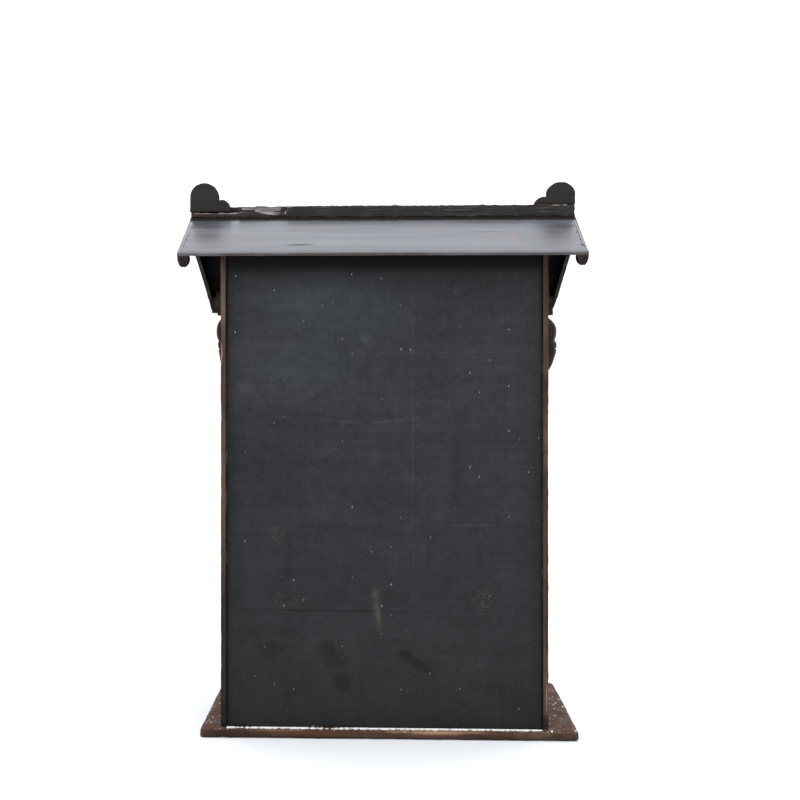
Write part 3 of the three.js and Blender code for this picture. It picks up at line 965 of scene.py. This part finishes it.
    @classmethod
    def measure_rim(cls, piece: Piece, arrises: np.ndarray) -> np.ndarray:
        """Writes each vertex's distance from the nearest arris into the rim attribute.

        Args:
            piece: The piece.
            arrises: Its sharp edges.

        Returns:
            The distances.
        """
        points = cls.places(piece)
        nearest = np.full(len(points), 1.0)
        for start, end in arrises:
            along = end - start
            share = np.clip((points - start) @ along / max(along @ along, 1e-12), 0, 1)
            away = np.linalg.norm(points - (start + share[:, None] * along), axis=1)
            nearest = np.minimum(nearest, away)
        attribute = piece.data.attributes.get(RIM) or piece.data.attributes.new(RIM, "FLOAT", "POINT")
        attribute.data.foreach_set("value", nearest)
        return nearest

    @classmethod
    def weather(cls, piece: Piece, rim: np.ndarray, work: Work, seed: int) -> None:
        """Wears a piece: nicks along its arrises and a slow warp over its faces.

        Args:
            piece: The piece.
            rim: Each vertex's distance from the nearest arris.
            work: How hard it is worn.
            seed: Moves the pattern.
        """
        near = piece.vertex_groups.new(name="near_arris")
        for index in np.nonzero(rim < work.reach)[0]:
            near.add([int(index)], float(1 - rim[index] / work.reach), "REPLACE")
        for name, size, depth, group in (
            ("nicks", 7 * MM, work.nick, near.name),
            ("dents", 24 * MM, work.nick * 0.8, near.name),
            ("warp", 90 * MM, work.warp, ""),
        ):
            texture = bpy.data.textures.new(f"{name}_{piece.name}", "CLOUDS")
            texture.noise_scale = size
            texture.noise_depth = 2
            texture.contrast = 1.6
            piece.location = Vector((seed * 0.37, seed * 0.11, seed * 0.23))
            cls.modify(
                piece, "DISPLACE", texture=texture, texture_coords="GLOBAL", strength=depth,
                mid_level=1.0 if group else 0.5, vertex_group=group)
            piece.location = Vector((0, 0, 0))
            bpy.data.textures.remove(texture)
        piece.vertex_groups.clear()

    @classmethod
    def ease(cls, piece: Piece, work: Work, seed: int) -> None:
        """Takes a sharp-edged shape to a finished, hand-worn board.

        Args:
            piece: The piece.
            work: How it is worked.
            seed: Moves the wear.
        """
        arrises = cls.arrises(piece, work.least)
        cls.modify(
            piece, "BEVEL", width=work.arris, segments=3, limit_method="ANGLE",
            angle_limit=math.radians(work.least), miter_outer="MITER_ARC", harden_normals=False,
            use_clamp_overlap=True)
        cls.saw(piece, work.pitch, work.axes)
        cls.weather(piece, cls.measure_rim(piece, arrises), work, seed)
        cls.take(piece)
        bpy.ops.object.shade_smooth_by_angle(angle=math.radians(32))

    @classmethod
    def joined(cls, name: str, pieces: Sequence[Piece]) -> Piece:
        """Joins pieces into one.

        Args:
            name: The new piece's name.
            pieces: The pieces.

        Returns:
            The first piece, now with the others in it.
        """
        cls.clear()
        for piece in pieces:
            piece.select_set(True)
        bpy.context.view_layer.objects.active = pieces[0]
        bpy.ops.object.join()
        pieces[0].name = name
        return pieces[0]


def along_outline(outline: Outline, place: float) -> float:
    """Reads an outline, which is pairs of place and value in rising order, at a place."""
    places, values = zip(*outline)
    return float(np.interp(place, places, values))


def clamped(value: float, low: float = 0.0) -> float:
    """A value kept between low and 1."""
    return min(max(value, low), 1.0)


def dress(piece: Piece, *materials: bpy.types.Material) -> None:
    """Gives a piece its materials, the first of them on every face.

    Args:
        piece: The piece.
        materials: The materials.
    """
    piece.data.materials.clear()
    for material in materials:
        piece.data.materials.append(material)


def enter(piece: Piece, slot: str, *nodes: str) -> Piece:
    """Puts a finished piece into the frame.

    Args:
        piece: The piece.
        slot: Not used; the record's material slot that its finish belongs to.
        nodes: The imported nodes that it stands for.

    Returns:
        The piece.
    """
    if nodes:
        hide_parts(*nodes)
    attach(piece, "root")
    return piece


def fitted(
    name: str, node: str, slot: str, work: Work, seed: int,
    materials: Sequence[bpy.types.Material],
    carve: Callable[[Piece], None] | None = None,
    shape: Callable[[Piece], None] | None = None,
    second: Callable[[bpy.types.MeshPolygon], bool] | None = None,
) -> Piece:
    """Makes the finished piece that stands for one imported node.

    Args:
        name: The piece's name.
        node: The node whose solid it starts from.
        slot: The record's material slot.
        work: How it is worked.
        seed: Moves its wear.
        materials: Its finish, and a second one where only some faces have it.
        carve: What is done to the shape before it is worked.
        shape: What is done to the shape after it.
        second: Says of a face whether it takes the second finish.

    Returns:
        The piece.
    """
    piece = Bench.copied(name, node)
    if carve:
        carve(piece)
    Bench.ease(piece, work, seed)
    if shape:
        shape(piece)
    dress(piece, *materials)
    if second:
        for face in piece.data.polygons:
            if second(face):
                face.material_index = 1
    return enter(piece, slot, node)


@dataclass
class Base:
    """The wide worn plank under everything, and the dust along the foot of the back panel."""

    node: str = "base_plank"
    wood: BareWood = BareWood(
        "base_wood", light=tone(75, 53, 40), dark=tone(38, 27, 21), dust=0.95, stained=0.6,
        behind=0.126,
        stains_and_shade=(
            Mark(-0.2765, 0.054, 0.0070, 0.014, strength=0.8, lying=True),
            Mark(-0.02, 0.0015, 0.6, 0.0016, strength=0.8),
        ),
        gilded=(
            Mark(-0.083, 0.0128, 0.052, 0.0048, strength=0.95),
            Mark(-0.020, 0.0125, 0.016, 0.0025, strength=0.5),
            Mark(-0.140, 0.0120, 0.020, 0.0020, strength=0.4),
            Mark(0.16, 0.0125, 0.05, 0.0012, strength=0.3),
        ))
    work: Work = Work(1.2 * MM, 9 * MM, (Axis.X, Axis.Y), 1.6 * MM, 0.7 * MM, least=40)
    dust_rise: float = 0.45 * MM
    dust_width: float = 8.0 * MM
    dust_steps: int = 460
    dust_rows: int = 5
    dust_waves: int = 9
    dust_lap: float = 0.4 * MM
    dust_sink: float = 0.2 * MM

    def build(self) -> list[Piece]:
        """Models and dresses the plank and the dust line.

        Returns:
            The pieces.
        """
        plank = fitted(
            "worn_base_plank", self.node, "worn_wood", self.work, 3, [self.wood.make(1.0)])
        return [plank, self._dust_line()]

    def _dust_line(self) -> Piece:
        """A low ragged ridge of pale dust between the panel and the plank's edge.

        Returns:
            The piece.
        """
        low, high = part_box("back_panel")
        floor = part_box(self.node)[1].z
        bottom = Vector((low.x, high.y - self.dust_lap, floor - self.dust_sink))
        top = Vector((high.x, high.y + self.dust_width, floor + self.dust_rise))
        line = Bench.block("foot_dust_line", bottom, top)
        Bench.saw(line, (high.x - low.x) / self.dust_steps, (Axis.X,))
        Bench.saw(line, self.dust_width / self.dust_rows, (Axis.Y,))
        rng = random.Random(11)
        waves = [
            (rng.uniform(0.02, 0.9), rng.uniform(0, math.tau)) for _ in range(self.dust_waves)]
        for vertex in line.data.vertices:
            along = (vertex.co.x - low.x) / MM
            ragged = sum(math.sin(along * rate + phase) for rate, phase in waves) / len(waves)
            out = (vertex.co.y - bottom.y) / (top.y - bottom.y)
            reach = 0.85 + 0.9 * ragged + rng.uniform(-0.2, 0.2)
            vertex.co.y = bottom.y + (top.y - bottom.y) * out * clamped(reach, 0.12)
            if vertex.co.z > floor:
                crest = (1 - out) ** 1.3 * (0.55 + 0.9 * ragged + rng.uniform(-0.25, 0.25))
                vertex.co.z = floor + self.dust_rise * clamped(crest, 0.04)
        Bench.take(line)
        bpy.ops.object.shade_smooth()
        dress(line, Dust().make())
        return enter(line, "worn_wood")


@dataclass
class Niche:
    """The two side boards and the dull back panel between them."""

    side_lacquer: Lacquer = Lacquer("side_lacquer", grain=Axis.Z, roughness=0.45, flecks=0.03)
    panel: PanelLacquer = PanelLacquer()
    panel_work: Work = Work(0.5 * MM, 14 * MM, (Axis.X, Axis.Z), 0.2 * MM, 0.35 * MM)
    side_work: Work = Work(0.9 * MM, 10 * MM, (Axis.Y, Axis.Z), 1.3 * MM, 0.5 * MM)
    edge_depth: float = 1.2 * MM
    groove_shade_widths: Mapping[Side, float] = field(
        default_factory=lambda: {Side.RIGHT: 2.2 * MM, Side.LEFT: 1.32 * MM})
    stains: Mapping[Side, tuple[Mark, ...]] = field(default_factory=lambda: {
        Side.RIGHT: (Mark(0.24, 0.12, 0.03, 0.18, strength=0.75), Mark(0.24, 0.02, 0.03, 0.03)),
        Side.LEFT: (
            Mark(-0.24, 0.69, 0.03, 0.10, strength=0.35),
            Mark(-0.24, 0.12, 0.03, 0.20, strength=0.25),
            Mark(-0.24, 0.02, 0.03, 0.02, strength=0.75),
        ),
    })
    rubs: Mapping[Side, tuple[Mark, ...]] = field(default_factory=lambda: {
        Side.RIGHT: (
            Mark(0.2423, 0.577, 0.0024, 0.016, strength=0.8),
            Mark(0.239, 0.66, 0.02, 0.07, strength=0.2),
        ),
        Side.LEFT: (
            Mark(-0.2462, 0.063, 0.0012, 0.027, strength=0.7),
        ),
    })

    def build(self) -> list[Piece]:
        """Models and dresses the niche.

        Returns:
            The pieces.
        """
        panel = fitted(
            "dull_back_panel", "back_panel", "panel_lacquer", self.panel_work, 5,
            [self.panel.make()])
        return [panel, *(self._side_board(side) for side in Side)]

    def _side_board(self, side: Side) -> Piece:
        """One side board: lacquered faces, bare wood on the back edge.

        Args:
            side: Which one.

        Returns:
            The piece.
        """
        node = f"side_board_{side.word}"
        low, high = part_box(node)
        inner = Side(-side.value).outer(low, high)
        edge = BareWood(
            "side_edge_wood", light=tone(80, 61, 49), dark=tone(45, 34, 28), grain=Axis.Z, dust=0.0,
            stained=0.45, golden=tone(142, 120, 104),
            stains_and_shade=(
                # Painted shade: the dark groove line along the inner edge, where the panel is
                # recessed.
                Mark(inner, 0.37, self.groove_shade_widths[side], 0.9),
                Mark(side.outer(low, high), 0.37, 0.8 * MM, 0.9, strength=0.6),
                *self.stains[side],
            ),
            gilded=self.rubs[side])
        return fitted(
            f"lacquered_{node}", node, "worn_wood", self.side_work, 7 + side.value,
            [self.side_lacquer.make(3.0 + side.value), edge.make(4.0 + side.value)],
            second=lambda face: face.center.y > high.y - self.edge_depth)


@dataclass
class Roof:
    """The two slopes, the four barge boards and the nails through them."""

    slope: Lacquer = Lacquer(
        "roof_lacquer", coat=tone(31, 31, 33), haze=tone(68, 68, 73), roughness=0.34,
        patchiness=0.12, gloss=0.62, flecks=0.03, bareness=0.3, wear=1.1 * MM, streaks=1.0,
        gashes_and_shade=(
            Mark(0.123, 0.137, 0.022, 0.0014, 0.02, strength=1.3, lying=True),
            Mark(-0.2985, 0.140, 0.0016, 0.008, 0.3, strength=0.8, lying=True),
            Mark(0.2965, 0.110, 0.0009, 0.050, -0.02, strength=0.4, lying=True),
            # Painted shadow: a dull dark band on the slope just under the ridge beam.
            Mark(0.0, 0.0440, 2.0, 0.0125, strength=0.97, lying=True, core=0.6),
            Mark(0.05, 0.030, 0.03, 0.0008, 0.03, strength=0.5, lying=True),
            Mark(-0.16, 0.095, 0.04, 0.0008, -0.02, strength=0.45, lying=True),
            Mark(-0.2975, 0.09, 0.0009, 0.06, strength=0.6, lying=True),
        ),
        blushes_and_highlights=(
            Mark(-0.0775, 0.072, 0.006, 0.006, strength=0.8, lying=True),
            Mark(-0.197, 0.117, 0.006, 0.009, strength=0.8, lying=True),
            Mark(0.23, 0.125, 0.05, 0.02, strength=0.22, lying=True),
            Mark(0.0, 0.1632, 0.9, 0.0018, strength=0.6, lying=True),
        ))
    barge: Lacquer = Lacquer(
        "barge_lacquer", coat=tone(20, 18, 18), haze=tone(30, 26, 25), undercoat=tone(58, 38, 30),
        roughness=0.5, gloss=0.1, grain=Axis.Y, wear=1.1 * MM, bareness=0.5, worn=0.44)
    slope_work: Work = Work(0.8 * MM, 10 * MM, (Axis.X, Axis.Y), 0.7 * MM, 0.35 * MM)
    barge_work: Work = Work(0.6 * MM, 3.5 * MM, tuple(Axis), 0.5 * MM, 0.4 * MM, least=40)
    hook_length: float = 25 * MM
    hook_depth: float = 14 * MM
    hook_drop: float = 1.3 * MM
    hook_swell: float = 1.08
    let_in: float = 2.4 * MM
    let_in_share: float = 0.12
    eave_band: float = 1.2 * MM
    averted: float = -0.7
    cheek_width: float = 10 * MM
    hook_slant: float = 4.2 * MM
    hook_middle: float = 6.8 * MM
    hook_outline: Outline = (
        (0.0, 6.6 * MM), (0.3, 6.2 * MM), (0.5, 5.6 * MM), (0.7, 4.8 * MM), (0.85, 3.9 * MM),
        (0.95, 2.9 * MM), (1.0, 2.0 * MM))
    shelter: Shelter = Shelter()
    nails_a_slope: int = 5
    nail_radius: float = 1.0 * MM
    nail_inset: float = 8 * MM
    nail_depth: float = 1.2 * MM
    nail_rounding: float = 0.3 * MM
    nail_start: float = 0.12
    nail_span: float = 0.82

    def build(self) -> list[Piece]:
        """Models and dresses the roof.

        Returns:
            The pieces.
        """
        pieces = []
        for seed, slope in enumerate(("back", "front")):
            node = f"roof_board_{slope}"
            # The slope's undersides take the painted shade.
            board = fitted(
                f"lacquered_{node}", node, "gloss_lacquer", self.slope_work, 11 + seed,
                [self.slope.make(5.0 + seed), self.shelter.make()],
                second=lambda face: face.normal.z < self.averted)
            pieces.append(board)
            for side in Side:
                pieces.append(self._barge(side, slope, seed))
                pieces.append(self._nails(side, slope, board))
        return pieces

    def _barge(self, side: Side, slope: str, seed: int) -> Piece:
        """One barge board.

        Args:
            side: Its gable.
            slope: Its slope, back or front.
            seed: Moves its wear.

        Returns:
            The piece.
        """
        node = f"barge_board_{side.word}_{slope}"
        # The barge board's inner faces take the painted shade.
        return fitted(
            f"worn_{node}", node, "dark_wood", self.barge_work, 13 + seed + side.value,
            [self.barge.make(7.0 + seed + side.value), self.shelter.make()],
            shape=lambda board: self._whittle(board, side, slope),
            second=lambda face: face.normal.x * side.value < self.averted)

    def _whittle(self, board: Piece, side: Side, slope: str) -> None:
        """Rounds the hook at a barge board's eave, which is thicker than the board itself.

        Args:
            board: The board.
            side: Its gable.
            slope: Its slope.
        """
        low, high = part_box(f"barge_board_{side.word}_{slope}")
        end = high.y if slope == "back" else low.y
        ceiling = max(v.co.z for v in board.data.vertices if abs(v.co.y - end) < self.eave_band)
        depth = ceiling - low.z if slope == "back" else self.hook_depth
        outer = side.outer(low, high)
        for vertex in board.data.vertices:
            if abs(vertex.co.y - end) > self.hook_length or vertex.co.z > ceiling + MM:
                continue
            inward = abs(outer - vertex.co.x)
            share = clamped((ceiling - vertex.co.z) / depth)
            if slope == "back":
                slant = self.hook_slant * share
                across = (inward - slant) / (self.cheek_width - slant) * 2 - 1
                inward = self.hook_middle + across * along_outline(self.hook_outline, share)
            else:
                inward *= self.hook_swell
                vertex.co.z -= self.hook_drop * share
            if share < self.let_in_share:
                vertex.co.z += self.let_in
            vertex.co.x = outer - side.value * inward

    def _nails(self, side: Side, slope: str, board: Piece) -> Piece:
        """The row of small nail heads where a slope is nailed down to its barge board.

        Args:
            side: The gable.
            slope: The slope.
            board: The dressed roof board.

        Returns:
            The heads as one piece.
        """
        low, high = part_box(f"roof_board_{slope}")
        apex, eave = (high.y, low.y) if slope == "front" else (low.y, high.y)
        edge = side.outer(low, high)
        rng = random.Random(41 + side.value + (10 if slope == "front" else 0))
        heads = []
        for step in range(self.nails_a_slope):
            share = self.nail_start + self.nail_span * (step + 0.5) / self.nails_a_slope
            share += rng.uniform(-0.04, 0.04)
            x = edge - side.value * (self.nail_inset + rng.uniform(-1.5, 1.5) * MM)
            above = Vector((x, apex + (eave - apex) * share, 1.0))
            _, place, normal, _ = board.ray_cast(above, Vector((0, 0, -1)))
            Bench.clear()
            bpy.ops.mesh.primitive_cylinder_add(
                vertices=14, radius=self.nail_radius * rng.uniform(0.8, 1.1),
                depth=self.nail_depth, location=place)
            head = bpy.context.object
            head.rotation_euler = normal.to_track_quat("Z", "Y").to_euler()
            Bench.settle(head)
            Bench.modify(head, "BEVEL", width=self.nail_rounding, segments=2, limit_method="ANGLE")
            bpy.ops.object.shade_smooth_by_angle(angle=math.radians(50))
            heads.append(head)
        row = Bench.joined(f"nail_heads_{side.word}_{slope}", heads)
        dress(row, Iron().make())
        return enter(row, "dark_wood")


@dataclass
class Ridge:
    """The ridge beam with its split, and the lobed finials at its ends."""

    beam: Lacquer = Lacquer(
        "ridge_lacquer", coat=tone(30, 28, 28), haze=tone(48, 44, 42), undercoat=tone(52, 40, 36),
        wood=tone(92, 80, 72), roughness=0.6, gloss=0.1, wear=0.9 * MM, bareness=0.6, streaks=0.9,
        raised=0.8, worn=0.48, behind=0.0,
        # Pale splinter colour, also used for a painted highlight.
        blush_and_highlight=tone(162, 157, 156),
        blushes_and_highlights=(
            Mark(0.196, 0.8050, 0.043, 0.0010, 0.153, strength=0.9),
            Mark(0.1525, 0.8030, 0.0014, 0.0060, strength=0.8),
            # Painted highlight: the lit bevel along the beam below the finial at the +x end.
            Mark(0.262, 0.8000, 0.042, 0.0014, strength=0.75, core=0.5),
            Mark(0.1800, 0.7995, 0.016, 0.0022, 0.12, strength=0.75),
            Mark(0.1480, 0.8090, 0.008, 0.0020, -0.2, strength=0.6),
            Mark(-0.272, 0.8100, 0.030, 0.0006, strength=0.12),
            Mark(0.0, 0.8108, 0.16, 0.0013, strength=0.5),
        ))
    split: BareWood = BareWood(
        "split_wood", light=tone(166, 159, 155), dark=tone(100, 90, 84), stain=tone(48, 43, 41),
        dust=0.0, stained=0.5, gloss=0.05, roughness=0.85, fraying=300,
        stains_and_shade=(
            Mark(0.155, 0.803, 0.008, 0.012, strength=1.1),
            Mark(0.163, 0.8010, 0.010, 0.0035, 0.2, strength=0.9),
            Mark(0.190, 0.8045, 0.030, 0.0010, 0.15, strength=0.9),
            Mark(0.222, 0.8085, 0.012, 0.0012, 0.1, strength=0.6),
        ))
    chip: tuple[float, float] = (155 * MM, 76 * MM)
    chip_depth: float = 10.5 * MM
    chip_lip: float = 0.3 * MM
    chip_face: float = 2 * MM
    finial: Lacquer = Lacquer(
        "finial_lacquer", coat=tone(29, 28, 27), haze=tone(41, 39, 37), roughness=0.55, gloss=0.1,
        wear=0.9 * MM, bareness=0.4, worn=0.46, streaks=0.8)
    beam_work: Work = Work(0.8 * MM, 3 * MM, (Axis.X, Axis.Z), 1.9 * MM, 0.8 * MM)
    finial_work: Work = Work(1.0 * MM, 4 * MM, (Axis.X, Axis.Z), 1.0 * MM, 0.3 * MM, least=40)
    spreads: Mapping[Side, Outline] = field(default_factory=lambda: {
        Side.LEFT: ((-5.0, -6.4), (0.0, -1.4), (40.0, 45.2), (62.0, 64.8), (70.0, 72.8)),
        Side.RIGHT: ((-5.0, -7.0), (0.0, -2.0), (44.5, 44.2), (65.0, 62.0), (70.0, 67.0)),
    })
    lifts: Mapping[Side, float] = field(
        default_factory=lambda: {Side.LEFT: 0.0, Side.RIGHT: 1.8 * MM})

    def build(self) -> list[Piece]:
        """Models and dresses the ridge.

        Returns:
            The pieces.
        """
        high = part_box("ridge_beam")[1]
        pieces = [fitted(
            "split_ridge_beam", "ridge_beam", "dark_wood", self.beam_work, 17,
            [self.beam.make(9.0), self.split.make(9.5)],
            second=lambda face: self._in_chip(face, high))]
        for side in Side:
            node = f"ridge_finial_{side.word}"
            pieces.append(fitted(
                f"lobed_{node}", node, "gloss_lacquer", self.finial_work, 19 + side.value,
                [self.finial.make(10.0 + side.value)],
                shape=lambda board, side=side: self._spread(board, side)))
        return pieces

    def _in_chip(self, face: bpy.types.MeshPolygon, high: Vector) -> bool:
        """Says of a face of the beam whether it lies open in the chip.

        Args:
            face: The face.
            high: The beam's highest corner.

        Returns:
            Whether it does.
        """
        along = self.chip[1] < high.x - face.center.x < self.chip[0]
        deep = self.chip_lip < high.z - face.center.z < self.chip_depth
        cut = face.normal.z > 0.25 or face.center.y < high.y - self.chip_face
        return along and deep and cut and face.center.y > 0

    def _spread(self, board: Piece, side: Side) -> None:
        """Gives a finial its own widths, because the two were cut by eye.

        Args:
            board: The finial, still with the outline of its solid.
            side: Its end of the ridge.
        """
        low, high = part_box(f"ridge_finial_{side.word}")
        end = side.outer(low, high)
        for vertex in board.data.vertices:
            inward = along_outline(self.spreads[side], abs(end - vertex.co.x) / MM) * MM
            vertex.co.x = end - side.value * inward
            vertex.co.z += self.lifts[side] * (vertex.co.z - low.z) / (high.z - low.z)


@dataclass
class Front:
    """The open front: posts, header and apron, sill, breast panel and rail."""

    joinery: Lacquer = Lacquer(
        "front_joinery", coat=tone(24, 22, 21), haze=tone(38, 33, 31), roughness=0.45, gloss=0.22,
        wear=1.5 * MM)
    carving: Lacquer = Lacquer(
        "front_carving", coat=tone(21, 20, 20), haze=tone(35, 33, 32), roughness=0.38, gloss=0.35,
        wear=1.1 * MM, bareness=0.4)
    work: Work = Work(0.7 * MM, 7 * MM, (Axis.X, Axis.Z), 0.8 * MM, 0.25 * MM, least=35)
    border: float = 3.6 * MM
    bevel: float = 0.7 * MM
    sinking: float = 1.1 * MM

    def build(self) -> list[Piece]:
        """Models and dresses the front.

        Returns:
            The pieces.
        """
        pieces = []
        for seed, (node, slot) in enumerate((
            ("front_post_left", "dark_wood"),
            ("front_post_right", "dark_wood"),
            ("front_sill", "dark_wood"),
            ("breast_rail", "dark_wood"),
            ("front_header", "gloss_lacquer"),
            ("breast_panel", "gloss_lacquer"),
            ("front_apron", "gloss_lacquer"),
        )):
            finish = self.joinery if slot == "dark_wood" else self.carving
            pieces.append(fitted(
                f"lacquered_{node}", node, slot, self.work, 23 + seed, [finish.make(12.0 + seed)],
                carve=self.bead if node == "front_apron" else None))
        return pieces

    def bead(self, piece: Piece) -> None:
        """Sinks the front face of a lobed board inside a border.

        Args:
            piece: The board.
        """
        front = min(vertex.co.y for vertex in piece.data.vertices)
        limit = front + 0.1 * MM
        Bench.select_faces(
            piece, lambda face: face.normal.y < -0.9 and face.calc_center_median().y < limit)
        bpy.ops.mesh.inset(thickness=self.border, depth=0)
        bpy.ops.mesh.inset(thickness=self.bevel, depth=-self.sinking)
        bpy.ops.object.mode_set(mode="OBJECT")


@dataclass
class Porch:
    """The eave rail and valance, the brackets that carry them and the two hanging buds."""

    joinery: Lacquer = Lacquer(
        "porch_joinery", coat=tone(22, 20, 20), haze=tone(35, 31, 29), roughness=0.45, gloss=0.2,
        wear=1.5 * MM)
    carving: Lacquer = Lacquer(
        "porch_carving", coat=tone(21, 20, 20), haze=tone(35, 33, 32), roughness=0.38, gloss=0.35,
        wear=1.1 * MM, bareness=0.4)
    bud: Lacquer = Lacquer(
        "bud_lacquer", coat=tone(28, 23, 21), haze=tone(46, 38, 33), undercoat=tone(60, 42, 34),
        roughness=0.5, gloss=0.07, grain=Axis.Z, wear=0.9 * MM, bareness=0.35, raised=0.35)
    rail_work: Work = Work(0.7 * MM, 6 * MM, (Axis.X, Axis.Z), 0.8 * MM, 0.25 * MM, least=35)
    bracket_work: Work = Work(0.7 * MM, 6 * MM, (Axis.Y, Axis.Z), 0.8 * MM, 0.25 * MM, least=35)
    bud_work: Work = Work(0.4 * MM, 3 * MM, (Axis.Z,), 0.3 * MM, 0.3 * MM, least=35)
    outlines: Mapping[Side, Outline] = field(default_factory=lambda: {
        Side.LEFT: (
            (0.0, 1.0), (0.16, 1.0), (0.22, 1.1), (0.3, 1.15), (0.48, 1.15), (0.505, 1.26),
            (0.53, 1.15), (0.6, 1.15), (0.655, 1.38), (0.68, 1.34), (0.8, 1.25), (1.0, 1.3)),
        Side.RIGHT: (
            (0.0, 1.0), (0.45, 1.0), (0.505, 1.05), (0.53, 0.86), (0.6, 0.82), (0.66, 0.92),
            (0.75, 0.85), (1.0, 0.85)),
    })
    leans: Mapping[Side, float] = field(
        default_factory=lambda: {Side.LEFT: 2.2 * MM, Side.RIGHT: 0.0})
    lean_start: float = 0.15
    let_in: float = 1.4 * MM
    let_in_share: float = 0.012

    def build(self) -> list[Piece]:
        """Models and dresses the porch.

        Returns:
            The pieces.
        """
        pieces = []
        for seed, (node, slot) in enumerate((
            ("eave_rail", "dark_wood"),
            ("eave_valance", "gloss_lacquer"),
            ("eave_bracket_left", "gloss_lacquer"),
            ("eave_bracket_right", "gloss_lacquer"),
        )):
            finish = self.joinery if slot == "dark_wood" else self.carving
            work = self.bracket_work if "bracket" in node else self.rail_work
            pieces.append(fitted(
                f"lacquered_{node}", node, slot, work, 31 + seed, [finish.make(20.0 + seed)]))
        for side in Side:
            node = f"pendant_{side.word}"
            pieces.append(fitted(
                f"carved_{node}", node, "gloss_lacquer", self.bud_work, 37 + side.value,
                [self.bud.make(25.0 + side.value)],
                shape=lambda bud, side=side: self._turn(bud, side)))
        return pieces

    def _turn(self, bud: Piece, side: Side) -> None:
        """Gives a hanging bud its own hand-turned outline.

        Args:
            bud: The bud, still with the outline of its solid.
            side: Its side.
        """
        low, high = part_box(f"pendant_{side.word}")
        axis = (low + high) / 2
        for vertex in bud.data.vertices:
            share = (high.z - vertex.co.z) / (high.z - low.z)
            factor = along_outline(self.outlines[side], share)
            lean = self.leans[side] * clamped((share - self.lean_start) / self.lean_start)
            vertex.co.x = axis.x + (vertex.co.x - axis.x) * factor + side.value * lean
            vertex.co.y = axis.y + (vertex.co.y - axis.y) * factor
            if share < self.let_in_share:
                vertex.co.z += self.let_in


@dataclass
class Studio:
    """The pale floor, the overcast sky that lights everything, and the camera."""

    floor_size: float = 24.0
    floor_tone: float = 0.64
    horizon: Colour = (1.06, 1.06, 1.06)
    zenith: Colour = (2.9, 3.02, 3.2)
    eye: Point = (-0.0027, 1.795, 0.5688)
    yaw: float = math.radians(1.82)
    focal_length: float = 50.0
    shift: tuple[float, float] = (0.0646, -0.0513)

    def build(self) -> None:
        """Builds the floor, the light and the camera."""
        self._floor()
        self._sky()
        self._camera()

    def _floor(self) -> None:
        """The floor under the shrine."""
        Bench.clear()
        bpy.ops.mesh.primitive_plane_add(size=self.floor_size)
        floor = bpy.context.object
        floor.name = "studio_floor"
        graph = Graph("pale_floor")
        tint = graph.noise(graph.place, 0.8, 2, 0.5) * 0.01 + self.floor_tone
        shade = graph.add("ShaderNodeCombineColor", None, {0: tint, 1: tint, 2: tint})
        dress(floor, graph.finish({"Base Color": shade, "Roughness": 0.9, "Specular IOR Level": 0.1}))

    def _sky(self) -> None:
        """An overcast sky, three times as bright overhead as at the horizon."""
        world = bpy.data.worlds.new("overcast")
        bpy.context.scene.world = world
        world.use_nodes = True
        tree = world.node_tree
        tree.nodes.clear()
        place, split, fade, glow, out = (
            tree.nodes.new(f"ShaderNode{kind}")
            for kind in ("TexCoord", "SeparateXYZ", "Mix", "Background", "OutputWorld"))
        fade.data_type = "RGBA"
        fade.inputs[6].default_value = (*self.horizon, 1.0)
        fade.inputs[7].default_value = (*self.zenith, 1.0)
        tree.links.new(place.outputs["Generated"], split.inputs[0])
        tree.links.new(split.outputs[2], fade.inputs[0])
        tree.links.new(fade.outputs[2], glow.inputs["Color"])
        tree.links.new(glow.outputs[0], out.inputs["Surface"])

    def _camera(self) -> None:
        """The camera, level, at the height and distance of the photograph."""
        lens = bpy.data.cameras.new("studio_camera")
        lens.lens = self.focal_length
        lens.sensor_width = 36.0
        lens.shift_x, lens.shift_y = self.shift
        camera = bpy.data.objects.new("studio_camera", lens)
        bpy.context.collection.objects.link(camera)
        camera.location = self.eye
        camera.rotation_euler = (math.pi / 2, 0, math.pi + self.yaw)
        bpy.context.scene.camera = camera
        bpy.context.scene.view_settings.view_transform = "Standard"


def main() -> None:
    """Builds the shrine's parts in order, then the studio, and reports every piece."""
    logging.basicConfig(level=logging.INFO, format="%(name)s: %(message)s")
    for part in (Base(), Niche(), Roof(), Ridge(), Front(), Porch()):
        for piece in part.build():
            LOG.info("%s: %s, %d faces", type(part).__name__, piece.name, len(piece.data.polygons))
    Studio().build()


if __name__ == "__main__":
    main()
